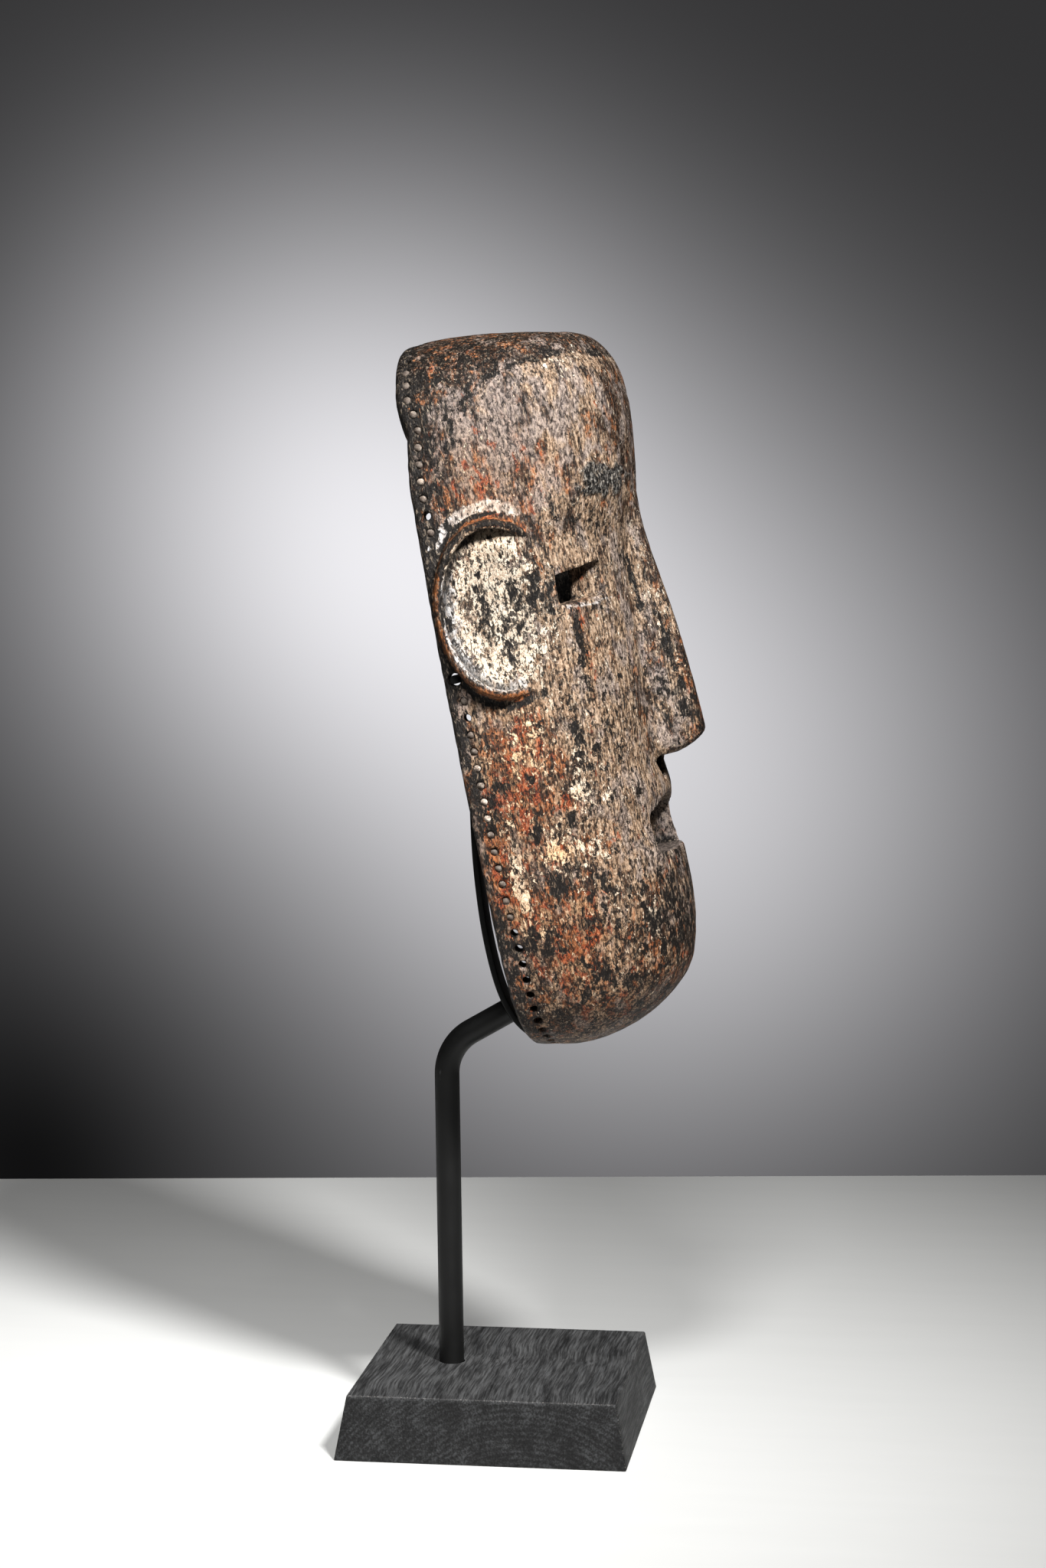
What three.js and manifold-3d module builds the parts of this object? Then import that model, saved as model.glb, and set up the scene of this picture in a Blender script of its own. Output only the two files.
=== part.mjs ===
// A carved wooden face mask on its display stand.
//
// Millimetres, +Z up. The origin is the middle of the base's underside and the mask looks along -Y.
// The mask is one carved shell, open behind. Its own axes are: x across, -y forward, z up the mask.
// A steel rod rises from a wooden base, bends forward, and carries a bowed strip behind the mask.
// The strip holds a cross bar, whose two ends sit in holes beside the ears.

import * as THREE from 'three';
import { mergeVertices } from 'three/addons/utils/BufferGeometryUtils.js';
import Module from 'manifold-3d';

const wasm = await Module();
wasm.setup();

// Clearance between neighbouring pieces
const GAP = 0.3;

// Base: a board with sloping sides
const BASE = { width: 133, depth: 127, height: 30, flare: 5.3, socketDepth: 18, socketSides: 20 };

// Pose of the mask on the stand
const YAW = THREE.MathUtils.degToRad(-3);
const LEAN = THREE.MathUtils.degToRad(10.5);
const MASK_CENTRE = { forward: 21.2, height: 345.6 };

// Rod: it leans back a little, then bends forward
const ROD = {
  x: 0, y: 24, diameter: 12, sides: 16, elbowSetback: 1.9, elbowHeight: 185.2,
  bendRadius: 24, bendSteps: 8, armRise: 30, armLength: 35.3,
};

// Strip and cross bar
const STRIP = {
  width: 16, thickness: 3, steps: 22,
  route: [
    [-5.4, -155], [-10, -152], [-14.6, -146], [-18, -138], [-20.4, -127], [-21.8, -105],
    [-20.9, -80], [-18.3, -55], [-13.5, -27], [-6, -1], [1, 18.1],
  ],
};
const CROSS_BAR = {
  diameter: 4, forward: 1.9, height: 20.5, halfLength: 77, sides: 12, holeDiameter: 6.2, holeLength: 200,
};

// Mask shell
const RIM_BACK = -3.5;
const RIM_BAND = 2;
const SECTION_POWER = 2.3;
const CAVITY = { across: 0.88, deep: 0.78, along: 0.93, drop: 60 };

// Stations from the chin's rim, up the face and over the crown to the upper rim. Each has the rim's
// half width, height and depth, the midline's depth and height, and the number of rows that follow.
const STATIONS = [
  { rim: [6, -158.6, -3.5], mid: [-1.5, -158.6], rows: 2 },
  { rim: [22, -157, -3.5], mid: [18, -162.4], rows: 2 },
  { rim: [37.5, -153, -3.5], mid: [41, -157.8], rows: 2 },
  { rim: [49.5, -146, -3.5], mid: [61.2, -146.6], rows: 2 },
  { rim: [58.5, -135.5, -3.5], mid: [73.6, -132.8], rows: 2 },
  { rim: [64.5, -118, -3.5], mid: [78.8, -114], rows: 2 },
  { rim: [68.5, -97, -3.5], mid: [80.1, -96], rows: 2 },
  { rim: [70.5, -78, -3.5], mid: [79.3, -78], rows: 2 },
  { rim: [72, -62, -3.5], mid: [77, -62], rows: 2 },
  { rim: [73.3, -48, -3.5], mid: [78.4, -48], rows: 2 },
  { rim: [74.5, -35, -3.5], mid: [77.2, -35], rows: 3 },
  { rim: [75, -27, -3.5], mid: [77.6, -27], rows: 3 },
  { rim: [76, 0, -3.5], mid: [79.6, 0], rows: 3 },
  { rim: [77.5, 30, -3.5], mid: [80, 30], rows: 3 },
  { rim: [77, 55, -3.5], mid: [80.2, 55], rows: 3 },
  { rim: [76, 75, -3.5], mid: [82.6, 75], rows: 2 },
  { rim: [75, 92, -3.5], mid: [87.2, 92], rows: 2 },
  { rim: [74, 112, -3.3], mid: [90, 112], rows: 2 },
  { rim: [73.5, 128, -1.6], mid: [91.3, 130], rows: 2 },
  { rim: [72.5, 138, -0.4], mid: [90.8, 143], rows: 2 },
  { rim: [70.5, 147, -3.2], mid: [87.8, 155], rows: 2 },
  { rim: [64, 159, -3.5], mid: [79, 166.6], rows: 3 },
  { rim: [53, 168.5, -3.5], mid: [60, 172.6], rows: 3 },
  { rim: [37, 173.8, -3.5], mid: [28, 177.2], rows: 3 },
  { rim: [18, 176, -3.5], mid: [6, 178.2], rows: 2 },
  { rim: [6, 176.5, -3.5], mid: [-1.5, 176.5], rows: 0 },
];

// Columns over half the face: a few across the nose, and the others from there to the rim
const NOSE_COLUMNS = 4;
const CHEEK_COLUMNS = 9;
const NOSE_SHARE = 0.21;

// Nose: ridge points (depth, height) from the brow to the tip, the half width, and the underside
const NOSE_RIDGE = [[88.2, 92], [88.6, 77], [90.3, 63.3], [95.9, 29.7], [99.4, 0], [100.6, -20], [101, -34]];
const NOSE = { rootHalfWidth: 9, tipHalfWidth: 16, rootZ: 90, tipZ: -30, ridgeShare: 0.16, footShare: 1.12 };
const NOSE_UNDERSIDE = { lowZ: -34.2, power: 0.42, height: 9 };
const RIDGE_STEPS = 48;

// Sockets: shallow dips between the brow and the eyes
const SOCKET = { x: 46, z: 74, halfWidth: 24, halfHeight: 22, depth: 3.2 };

// Eyes, mouth and the hollow under the nose, as outlines (x, z) seen from the front
const EYE = [[60.5, 44.5], [60.5, 58.5], [39, 62], [37, 60], [37.5, 46.5]];
const EYE_CUT = { from: 30, to: 110 };
const MOUTH = { halfWidth: 30, cornerTopZ: -59, topZ: -51.5, bottomZ: -76.5, lipSteps: 8 };
const MOUTH_CUT = { from: 40, to: 110 };
const PHILTRUM = { halfWidth: 13, topZ: -33.2, lowZ: -46 };
const PHILTRUM_CUT = { from: 70.5, to: 91.5 };

// Ears: a C-shaped lip round a shallow dish on each side
const EAR = {
  forward: 28, z: 48, halfDepth: 28, halfHeight: 40.5, startAngle: 48, endAngle: 286, steps: 18,
  lipWidth: 4.2, lipDepth: 12.3, lipLean: 2, lipRound: 1.4, lipFace: 0.4, stand: 7.5, fadeStart: -8, fade: 40,
};
const EAR_DISH = {
  forward: 30, z: 47.5, halfDepth: 38, halfHeight: 47, bite: 5.5, bulge: 18, lean: 14, columns: 20, rows: 12,
};

// Holes along the side rims
const RIM_HOLES = { spacing: 7.9, diameter: 3.4, length: 34, earLow: 10, earHigh: 86, sides: 5 };

// How far the holes lie in from the rim, at four heights
const RIM_HOLE_INSETS = [[-110, 9.6], [-60, 7.6], [60, 7.6], [100, 5.8]];

const MERGE_DISTANCE = 1e-4;

const smooth = (from, to, x) => THREE.MathUtils.smoothstep(x, from, to);
const mix = THREE.MathUtils.lerp;

// The value at a place, read from a list of places and values
function valueAt(pairs, place) {
  const after = pairs.findIndex(([start]) => start >= place);
  if (after === 0) return pairs[0][1];
  if (after < 0) return pairs[pairs.length - 1][1];
  const [start, first] = pairs[after - 1];
  const [end, last] = pairs[after];
  return mix(first, last, (place - start) / (end - start));
}

// Curves through the stations: the rim as (x, z, depth), the midline and the nose's ridge as (depth, z)
const pointAt = ([x, y, z = 0]) => new THREE.Vector3(x, y, z);
const curveThrough = (points) => new THREE.CatmullRomCurve3(points.map(pointAt));
const rimCurve = curveThrough(STATIONS.map((station) => station.rim));
const midCurve = curveThrough(STATIONS.map((station) => station.mid));
const ridgeCurve = curveThrough(NOSE_RIDGE);
const ridgePoints = ridgeCurve.getPoints(RIDGE_STEPS);

// Row positions along the stations' curves, and column positions as angles across a half section
function rowPositions() {
  const rows = [];
  STATIONS.forEach((station, i) => {
    for (let k = 0; k < station.rows; k += 1) rows.push((i + k / station.rows) / (STATIONS.length - 1));
  });
  rows.push(1);
  return rows;
}

function columnAngles() {
  const noseAngle = Math.acos(NOSE_SHARE ** (SECTION_POWER / 2));
  const half = [];
  for (let k = 0; k < CHEEK_COLUMNS; k += 1) half.push((noseAngle * k) / CHEEK_COLUMNS);
  for (let k = 0; k <= NOSE_COLUMNS; k += 1) {
    const share = NOSE_SHARE * (1 - k / NOSE_COLUMNS);
    half.push(Math.acos(share ** (SECTION_POWER / 2)));
  }
  const far = half.slice(0, -1).reverse().map((angle) => Math.PI - angle);
  return [...half, ...far];
}

// How far the nose stands out of the face
function noseRise(x, depth, z) {
  if (z > NOSE_RIDGE[0][1] || z < NOSE_UNDERSIDE.lowZ) return 0;
  const after = ridgePoints.findIndex((p) => p.y <= z);
  const a = ridgePoints[Math.max(after - 1, 0)];
  const b = ridgePoints[after];
  const ridge = a === b ? a.x : mix(a.x, b.x, (a.y - z) / (a.y - b.y));
  const middle = Math.max(0, ridge - depth);
  const way = (NOSE.rootZ - z) / (NOSE.rootZ - NOSE.tipZ);
  const halfWidth = mix(NOSE.rootHalfWidth, NOSE.tipHalfWidth, THREE.MathUtils.clamp(way, 0, 1));
  const side = 1 - smooth(NOSE.ridgeShare, NOSE.footShare, Math.abs(x) / halfWidth);
  const low = (z - NOSE_UNDERSIDE.lowZ) / NOSE_UNDERSIDE.height;
  const under = low < 1 ? Math.min(1, low ** NOSE_UNDERSIDE.power) : 1;
  return middle * side * under;
}

// How far the face dips in a socket
function socketDip(x, z) {
  const away = Math.hypot((Math.abs(x) - SOCKET.x) / SOCKET.halfWidth, (z - SOCKET.z) / SOCKET.halfHeight);
  return SOCKET.depth * (1 - smooth(0, 1, away));
}

// A point of the carved face: row position t, section angle, 0 at the near rim and pi at the far rim
function facePoint(t, angle, carved = true) {
  const rim = rimCurve.getPoint(t);
  const mid = midCurve.getPoint(t);
  const across = Math.abs(Math.cos(angle)) ** (2 / SECTION_POWER) * Math.sign(Math.cos(angle));
  const out = Math.sin(angle) ** (2 / SECTION_POWER);
  const x = -rim.x * across;
  const depth = mix(rim.z + RIM_BAND, mid.x, out);
  const z = mix(rim.y, mid.y, out);
  const rise = carved ? noseRise(x, mid.x, z) - socketDip(x, z) * out : 0;
  return new THREE.Vector3(x, -(depth + rise), z);
}

function geometryFrom(points, faces) {
  const geometry = new THREE.BufferGeometry();
  const positions = points.flatMap((p) => [p.x, p.y, p.z]);
  geometry.setAttribute('position', new THREE.Float32BufferAttribute(positions, 3));
  geometry.setIndex(faces);
  return geometry;
}

// A grid of points made a closed body: its four edges drop straight back and meet in a flat fan
function bowlGeometry(grid, drop) {
  const columns = grid[0].length;
  const last = grid.length - 1;
  const points = grid.flat();
  const faces = [];
  const quad = (a, b, c, d) => faces.push(a, b, c, a, c, d);
  for (let i = 0; i < last; i += 1) {
    for (let j = 0; j < columns - 1; j += 1) {
      const a = i * columns + j;
      quad(a, a + 1, a + 1 + columns, a + columns);
    }
  }
  const edge = [];
  for (let j = 0; j < columns - 1; j += 1) edge.push(j);
  for (let i = 0; i < last; i += 1) edge.push(i * columns + columns - 1);
  for (let j = columns - 1; j > 0; j -= 1) edge.push(last * columns + j);
  for (let i = last; i > 0; i -= 1) edge.push(i * columns);
  const ring = points.length;
  edge.forEach((a) => points.push(points[a].clone().add(new THREE.Vector3(0, drop, 0))));
  const centre = points.length;
  points.push(new THREE.Vector3(0, points[ring].y, 0));
  edge.forEach((a, k) => {
    const next = (k + 1) % edge.length;
    quad(edge[next], a, ring + k, ring + next);
    faces.push(ring + next, ring + k, centre);
  });
  return geometryFrom(points, faces);
}

// A closed body whose section has the given number of corners, listed ring after ring
function prismAlong(corners, sides) {
  const last = corners.length - sides;
  const faces = [];
  for (let ring = 0; ring < last; ring += sides) {
    for (let j = 0; j < sides; j += 1) {
      const a = ring + j;
      const b = ring + ((j + 1) % sides);
      faces.push(a, b + sides, b, a, a + sides, b + sides);
    }
  }
  for (let j = 1; j < sides - 1; j += 1) {
    faces.push(0, j, j + 1);
    faces.push(last, last + j + 1, last + j);
  }
  return geometryFrom(corners, faces);
}

// Booleans
function solid(geometry) {
  const bare = geometry.clone();
  bare.deleteAttribute('normal');
  bare.deleteAttribute('uv');
  const merged = mergeVertices(bare, MERGE_DISTANCE);
  return new wasm.Manifold(new wasm.Mesh({
    numProp: 3,
    vertProperties: new Float32Array(merged.attributes.position.array),
    triVerts: new Uint32Array(merged.index.array),
  }));
}

function geometryOf(manifold) {
  const mesh = manifold.getMesh();
  const geometry = new THREE.BufferGeometry();
  geometry.setAttribute('position', new THREE.BufferAttribute(mesh.vertProperties, 3));
  geometry.setIndex(new THREE.BufferAttribute(mesh.triVerts, 1));
  const flat = geometry.toNonIndexed();
  flat.computeVertexNormals();
  return flat;
}

// The shell and its hollow
function shellSolid() {
  const angles = columnAngles();
  const grid = rowPositions().map((t) => angles.map((angle) => facePoint(t, angle)));
  return solid(bowlGeometry(grid, RIM_BAND));
}

function cavitySolid() {
  const thinned = (list) => list.filter((item, i) => i % 3 === 0 || i === list.length - 1);
  const angles = thinned(columnAngles());
  const floor = RIM_BACK + RIM_BAND;
  const grid = thinned(rowPositions()).map((t) => angles.map((angle) => {
    const p = facePoint(t, angle, false);
    const depth = floor + (-p.y - floor) * CAVITY.deep;
    return new THREE.Vector3(p.x * CAVITY.across, -depth, p.z * CAVITY.along);
  }));
  return solid(bowlGeometry(grid, CAVITY.drop));
}

// A prism whose outline is given as (x, z) and which runs forward from one depth to another
function forwardPrism(outline, { from, to }) {
  const shape = new THREE.Shape(outline.map(([x, z]) => new THREE.Vector2(x, z)));
  const geometry = new THREE.ExtrudeGeometry(shape, { depth: to - from, bevelEnabled: false });
  geometry.translate(0, 0, from);
  geometry.rotateX(Math.PI / 2);
  return geometry;
}

function eyeSolid(side) {
  const outline = EYE.map(([x, z]) => [x * side, z]);
  return solid(forwardPrism(outline, EYE_CUT));
}

function mouthSolid() {
  const outline = [[-MOUTH.halfWidth, MOUTH.bottomZ], [MOUTH.halfWidth, MOUTH.bottomZ]];
  for (let k = 0; k <= MOUTH.lipSteps; k += 1) {
    const way = 1 - (2 * k) / MOUTH.lipSteps;
    outline.push([way * MOUTH.halfWidth, mix(MOUTH.topZ, MOUTH.cornerTopZ, way * way)]);
  }
  return solid(forwardPrism(outline, MOUTH_CUT));
}

function philtrumSolid() {
  const { halfWidth, topZ, lowZ } = PHILTRUM;
  const outline = [[-halfWidth, topZ], [0, lowZ], [halfWidth, topZ]];
  return solid(forwardPrism(outline, PHILTRUM_CUT));
}

// Lateral place of the shell's side at a depth and height
function sideX(depth, z) {
  const upper = STATIONS.findIndex((station) => station.rim[1] >= z);
  const below = STATIONS[upper - 1];
  const above = STATIONS[upper];
  const way = (z - below.rim[1]) / (above.rim[1] - below.rim[1]);
  const halfWidth = mix(below.rim[0], above.rim[0], way);
  const floor = RIM_BACK + RIM_BAND;
  const reach = mix(below.mid[0], above.mid[0], way) - floor;
  const out = Math.max(0, (depth - floor) / reach);
  return halfWidth * (1 - Math.min(out, 1) ** SECTION_POWER) ** (1 / SECTION_POWER);
}

// The route of an ear's lip, as an arc of an ellipse laid on the side of the shell
class EarLipCurve extends THREE.Curve {
  constructor(side) {
    super();
    this.side = side;
  }

  getPoint(t) {
    const degrees = mix(EAR.startAngle, EAR.endAngle, t);
    const angle = THREE.MathUtils.degToRad(degrees);
    const depth = EAR.forward + EAR.halfDepth * Math.cos(angle);
    const z = EAR.z + EAR.halfHeight * Math.sin(angle);
    const fromEnd = Math.min(degrees - EAR.startAngle, EAR.endAngle - degrees);
    const stand = EAR.stand * smooth(EAR.fadeStart, EAR.fade, fromEnd) - EAR.lipDepth / 2;
    return new THREE.Vector3(this.side * (sideX(depth, z) + stand), -depth, z);
  }
}

// The lip: its section leans inwards, so that the ear's edge overhangs
function earLipSolid(side) {
  const curve = new EarLipCurve(side);
  const outward = new THREE.Vector3(side, 0, 0);
  const half = EAR.lipWidth / 2;
  const top = EAR.lipDepth / 2;
  const lean = EAR.lipLean * side;
  const face = half * EAR.lipFace;
  const section = [
    [-half, -top], [half, -top], [lean + half, top - EAR.lipRound],
    [lean + face, top], [lean - face, top], [lean - half, top - EAR.lipRound],
  ];
  const corners = [];
  for (let k = 0; k <= EAR.steps; k += 1) {
    const p = curve.getPoint(k / EAR.steps);
    const across = new THREE.Vector3().crossVectors(curve.getTangent(k / EAR.steps), outward).normalize();
    section.forEach(([w, d]) => corners.push(p.clone().addScaledVector(across, w).addScaledVector(outward, d)));
  }
  return solid(prismAlong(corners, section.length));
}

function earDishSolid(side) {
  const dish = new THREE.SphereGeometry(1, EAR_DISH.columns, EAR_DISH.rows);
  dish.scale(EAR_DISH.bulge, EAR_DISH.halfDepth, EAR_DISH.halfHeight);
  const x = sideX(EAR_DISH.forward, EAR_DISH.z) + EAR_DISH.bulge - EAR_DISH.bite;
  dish.rotateZ(-side * THREE.MathUtils.degToRad(EAR_DISH.lean));
  dish.translate(side * x, -EAR_DISH.forward, EAR_DISH.z);
  return solid(dish);
}

// Holes: one pair for the cross bar, and a row that follows the rim except at the ears
function holeSolid(diameter, length, sides, place, angle) {
  const hole = new THREE.CylinderGeometry(diameter / 2, diameter / 2, length, sides);
  hole.rotateZ(Math.PI / 2);
  hole.rotateY(-angle);
  hole.translate(place.x, place.y, place.z);
  return solid(hole);
}

function rimHoles() {
  const { spacing, diameter, length, earLow, earHigh, sides } = RIM_HOLES;
  const count = Math.floor(rimCurve.getLength() / spacing);
  const holes = [];
  for (let k = 0; k <= count; k += 1) {
    const t = (k + 0.5) / (count + 1);
    const rim = rimCurve.getPointAt(t);
    const way = rimCurve.getTangentAt(t);
    if (rim.y > earLow && rim.y < earHigh) continue;
    const inset = valueAt(RIM_HOLE_INSETS, rim.y);
    for (const side of [-1, 1]) {
      const place = new THREE.Vector3(side * rim.x, -(rim.z + inset), rim.y);
      holes.push(holeSolid(diameter, length, sides, place, side * Math.atan2(-way.x, way.y)));
    }
  }
  return holes;
}

function maskGeometry() {
  let mask = shellSolid();
  for (const side of [-1, 1]) mask = mask.subtract(earDishSolid(side)).add(earLipSolid(side));
  mask = mask.subtract(cavitySolid());
  for (const side of [-1, 1]) mask = mask.subtract(eyeSolid(side));
  mask = mask.subtract(mouthSolid()).subtract(philtrumSolid());
  const barPlace = new THREE.Vector3(0, -CROSS_BAR.forward, CROSS_BAR.height);
  mask = mask.subtract(holeSolid(CROSS_BAR.holeDiameter, CROSS_BAR.holeLength, CROSS_BAR.sides, barPlace, 0));
  mask = mask.subtract(rimHoles().reduce((all, hole) => all.add(hole)));
  return geometryOf(mask);
}

// Stand
function baseGeometry() {
  const block = new THREE.BoxGeometry(BASE.width, BASE.depth, BASE.height);
  const position = block.attributes.position;
  for (let i = 0; i < position.count; i += 1) {
    if (position.getZ(i) > 0) continue;
    position.setX(i, position.getX(i) + Math.sign(position.getX(i)) * BASE.flare);
    position.setY(i, position.getY(i) + Math.sign(position.getY(i)) * BASE.flare);
  }
  block.translate(0, 0, BASE.height / 2);
  const radius = ROD.diameter / 2 + GAP;
  const socket = new THREE.CylinderGeometry(radius, radius, BASE.socketDepth * 2, BASE.socketSides);
  socket.rotateX(Math.PI / 2);
  socket.translate(ROD.x, ROD.y, BASE.height);
  return geometryOf(solid(block).subtract(solid(socket)));
}

// A body swept along points of the plane x = 0, whose section is given as (x, outwards)
function sweepInPlane(points, section) {
  const across = new THREE.Vector3(1, 0, 0);
  const corners = points.flatMap((p, i) => {
    const ahead = points[Math.min(i + 1, points.length - 1)];
    const behind = points[Math.max(i - 1, 0)];
    const outwards = new THREE.Vector3().crossVectors(across, ahead.clone().sub(behind).normalize());
    return section.map(([x, out]) => p.clone().addScaledVector(across, x).addScaledVector(outwards, out));
  });
  const flat = prismAlong(corners, section.length).toNonIndexed();
  flat.computeVertexNormals();
  return flat;
}

function rodGeometry() {
  const foot = new THREE.Vector3(0, 0, BASE.height - BASE.socketDepth + GAP);
  const elbow = new THREE.Vector3(0, ROD.elbowSetback, ROD.elbowHeight);
  const rise = THREE.MathUtils.degToRad(ROD.armRise);
  const arm = new THREE.Vector3(0, -Math.cos(rise), Math.sin(rise));
  const upright = elbow.clone().sub(foot).normalize();
  const turn = upright.angleTo(arm);
  const setback = ROD.bendRadius * Math.tan(turn / 2);
  const bendStart = elbow.clone().addScaledVector(upright, -setback);
  const toCentre = arm.clone().addScaledVector(upright, -arm.dot(upright)).normalize();
  const centre = bendStart.clone().addScaledVector(toCentre, ROD.bendRadius);
  const points = [foot];
  for (let k = 0; k <= ROD.bendSteps; k += 1) {
    const angle = (turn * k) / ROD.bendSteps;
    const along = Math.sin(angle) * ROD.bendRadius;
    const inward = Math.cos(angle) * ROD.bendRadius;
    points.push(centre.clone().addScaledVector(upright, along).addScaledVector(toCentre, -inward));
  }
  points.push(elbow.clone().addScaledVector(arm, ROD.armLength));
  const section = [];
  for (let k = 0; k < ROD.sides; k += 1) {
    const angle = (2 * Math.PI * k) / ROD.sides;
    section.push([(Math.cos(angle) * ROD.diameter) / 2, (Math.sin(angle) * ROD.diameter) / 2]);
  }
  return sweepInPlane(points, section);
}

function stripGeometry() {
  const curve = new THREE.CatmullRomCurve3(STRIP.route.map(([depth, z]) => new THREE.Vector3(0, -depth, z)));
  const w = STRIP.width / 2;
  const t = STRIP.thickness / 2;
  return sweepInPlane(curve.getSpacedPoints(STRIP.steps), [[w, -t], [w, t], [-w, t], [-w, -t]]);
}

function crossBarGeometry() {
  const radius = CROSS_BAR.diameter / 2;
  const bar = new THREE.CylinderGeometry(radius, radius, CROSS_BAR.halfLength * 2, CROSS_BAR.sides);
  bar.rotateZ(Math.PI / 2);
  bar.translate(0, -CROSS_BAR.forward, CROSS_BAR.height);
  return bar;
}

function piece(name, geometry, color, roughness, metalness) {
  const mesh = new THREE.Mesh(geometry, new THREE.MeshStandardMaterial({ color, roughness, metalness }));
  mesh.name = name;
  return mesh;
}

const maskFrame = new THREE.Group();
maskFrame.position.set(0, -MASK_CENTRE.forward, MASK_CENTRE.height);
maskFrame.rotation.x = -LEAN;
maskFrame.add(piece('mask', maskGeometry(), 0x6e4a33, 0.75, 0));
maskFrame.add(piece('back_strip', stripGeometry(), 0x111214, 0.5, 0.6));
maskFrame.add(piece('cross_bar', crossBarGeometry(), 0x111214, 0.5, 0.6));

const stand = new THREE.Group();
stand.position.set(ROD.x, ROD.y, 0);
stand.rotation.z = YAW;
stand.add(piece('rod', rodGeometry(), 0x111214, 0.5, 0.6));
stand.add(maskFrame);

const object = new THREE.Group();
object.add(piece('base', baseGeometry(), 0x24262a, 0.8, 0));
object.add(stand);

export default object;
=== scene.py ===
"""A weathered carved face mask on its steel mount and wooden base."""

import math

import bmesh
import bpy
import numpy as np
from mathutils import Matrix, Vector
from mathutils.bvhtree import BVHTree


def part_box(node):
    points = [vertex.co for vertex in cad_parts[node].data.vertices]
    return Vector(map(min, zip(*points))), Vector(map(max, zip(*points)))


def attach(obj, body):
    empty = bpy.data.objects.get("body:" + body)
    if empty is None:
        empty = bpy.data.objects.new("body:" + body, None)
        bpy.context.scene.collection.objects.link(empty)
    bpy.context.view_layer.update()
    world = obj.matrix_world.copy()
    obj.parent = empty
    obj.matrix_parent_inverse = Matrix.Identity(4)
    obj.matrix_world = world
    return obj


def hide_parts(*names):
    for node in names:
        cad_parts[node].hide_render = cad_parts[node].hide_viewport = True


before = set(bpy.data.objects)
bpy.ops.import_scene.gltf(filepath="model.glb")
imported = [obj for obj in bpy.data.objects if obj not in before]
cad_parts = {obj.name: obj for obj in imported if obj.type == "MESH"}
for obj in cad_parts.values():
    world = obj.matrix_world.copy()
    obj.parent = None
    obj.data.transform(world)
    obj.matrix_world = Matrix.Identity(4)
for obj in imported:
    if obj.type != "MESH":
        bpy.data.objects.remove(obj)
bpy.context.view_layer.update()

bl_info = {
    "name": "Carved mask on a stand",
    "version": (1, 0, 0),
    "blender": (4, 5, 0),
    "location": "View3D > Sidebar > Mask",
    "description": "Builds a weathered carved mask, its steel mount and its base round the packed frame",
    "category": "Object",
}

# Units: shapes are worked out in millimetres and placed in metres
MM = 0.001

# Pose of the mask on the stand
YAW = math.radians(-3)
LEAN = math.radians(10.5)
STAND_BACK = 24
MASK_CENTRE = (0, -21.2, 345.6)

# Mask shell: stations from the chin's rim over the crown to the upper rim
# Each has the rim's half width, height and depth, then the midline's depth and height
STATIONS = [
    (6, -158.6, -3.5, -1.5, -158.6), (22, -157, -3.5, 18, -162.4), (37.5, -153, -3.5, 41, -157.8),
    (49.5, -146, -3.5, 61.2, -146.6), (58.5, -135.5, -3.5, 73.6, -132.8), (64.5, -118, -3.5, 78.8, -114),
    (68.5, -97, -3.5, 80.1, -96), (70.5, -78, -3.5, 79.3, -78), (72, -62, -3.5, 77, -62),
    (73.3, -48, -3.5, 78.4, -48), (74.5, -35, -3.5, 77.2, -35), (75, -27, -3.5, 77.6, -27),
    (76, 0, -3.5, 79.6, 0), (77.5, 30, -3.5, 80, 30), (77, 55, -3.5, 80.2, 55),
    (76, 75, -3.5, 82.6, 75), (75, 92, -3.5, 87.2, 92), (74, 112, -3.3, 90, 112),
    (73.5, 128, -1.6, 91.3, 130), (72.5, 138, -0.4, 90.8, 143), (70.5, 147, -3.2, 87.8, 155),
    (64, 159, -3.5, 79, 166.6), (53, 168.5, -3.5, 60, 172.6), (37, 173.8, -3.5, 28, 177.2),
    (18, 176, -3.5, 6, 178.2), (6, 176.5, -3.5, -1.5, 176.5),
]
RIM_BACK = -3.5
RIM_BAND = 2
SECTION_POWER = 2.3
RIM_RINGS = [0, 0.02, 0.04, 0.07, 0.1, 0.14]
CAVITY = {
    "across": 0.88, "deep": 0.78, "along": 0.93, "drop": 60, "rows": 150, "columns": 110,
    "scoops_across": 11, "scoops_along": 17, "scoop": 0.012,
}

# Divisions of the shell: rough runs of the midline and a section, where columns stand closer, and samples
MIDLINE_RUN = 450
SECTION_RUN = 285
CLOSER = {"rim_angle": 0.05, "rim": 0.5, "nose_x": 18, "nose": 0.35}
SAMPLES = {"midline": 900, "section": 1201, "ridge": 200, "rim": 1200, "holes": 400, "strip": 70}

# Nose, sockets, eyes, mouth and the hollow under the nose
NOSE_RIDGE = [(88.2, 92), (88.6, 77), (90.3, 63.3), (95.9, 29.7), (99.4, 0), (100.6, -20), (101, -34)]
NOSE = {"root_half": 9, "tip_half": 16, "root_z": 90, "tip_z": -30, "ridge_share": 0.16, "foot_share": 1.12}
NOSE_UNDERSIDE = {"low_z": -34.2, "power": 0.42, "height": 9}
SOCKET = {"x": 46, "z": 74, "half_width": 24, "half_height": 22, "depth": 3.2}
EYE = [(60.5, 44.5), (60.5, 58.5), (39, 62), (37, 60), (37.5, 46.5)]
MOUTH = {"half_width": 30, "corner_z": -59, "top_z": -51.5, "bottom_z": -76.5, "steps": 12}
PHILTRUM = [(-13, -33.2), (0, -46), (13, -33.2)]

# Cuts from the front: corner radius and pitch of the outline, then the two depths
CUTS = {"eye": (1.5, 1.3, 30, 110), "mouth": (2, 1.4, 40, 110), "philtrum": (1.5, 1.4, 70.5, 91.5)}
CUT_STEP = 1.3

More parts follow.
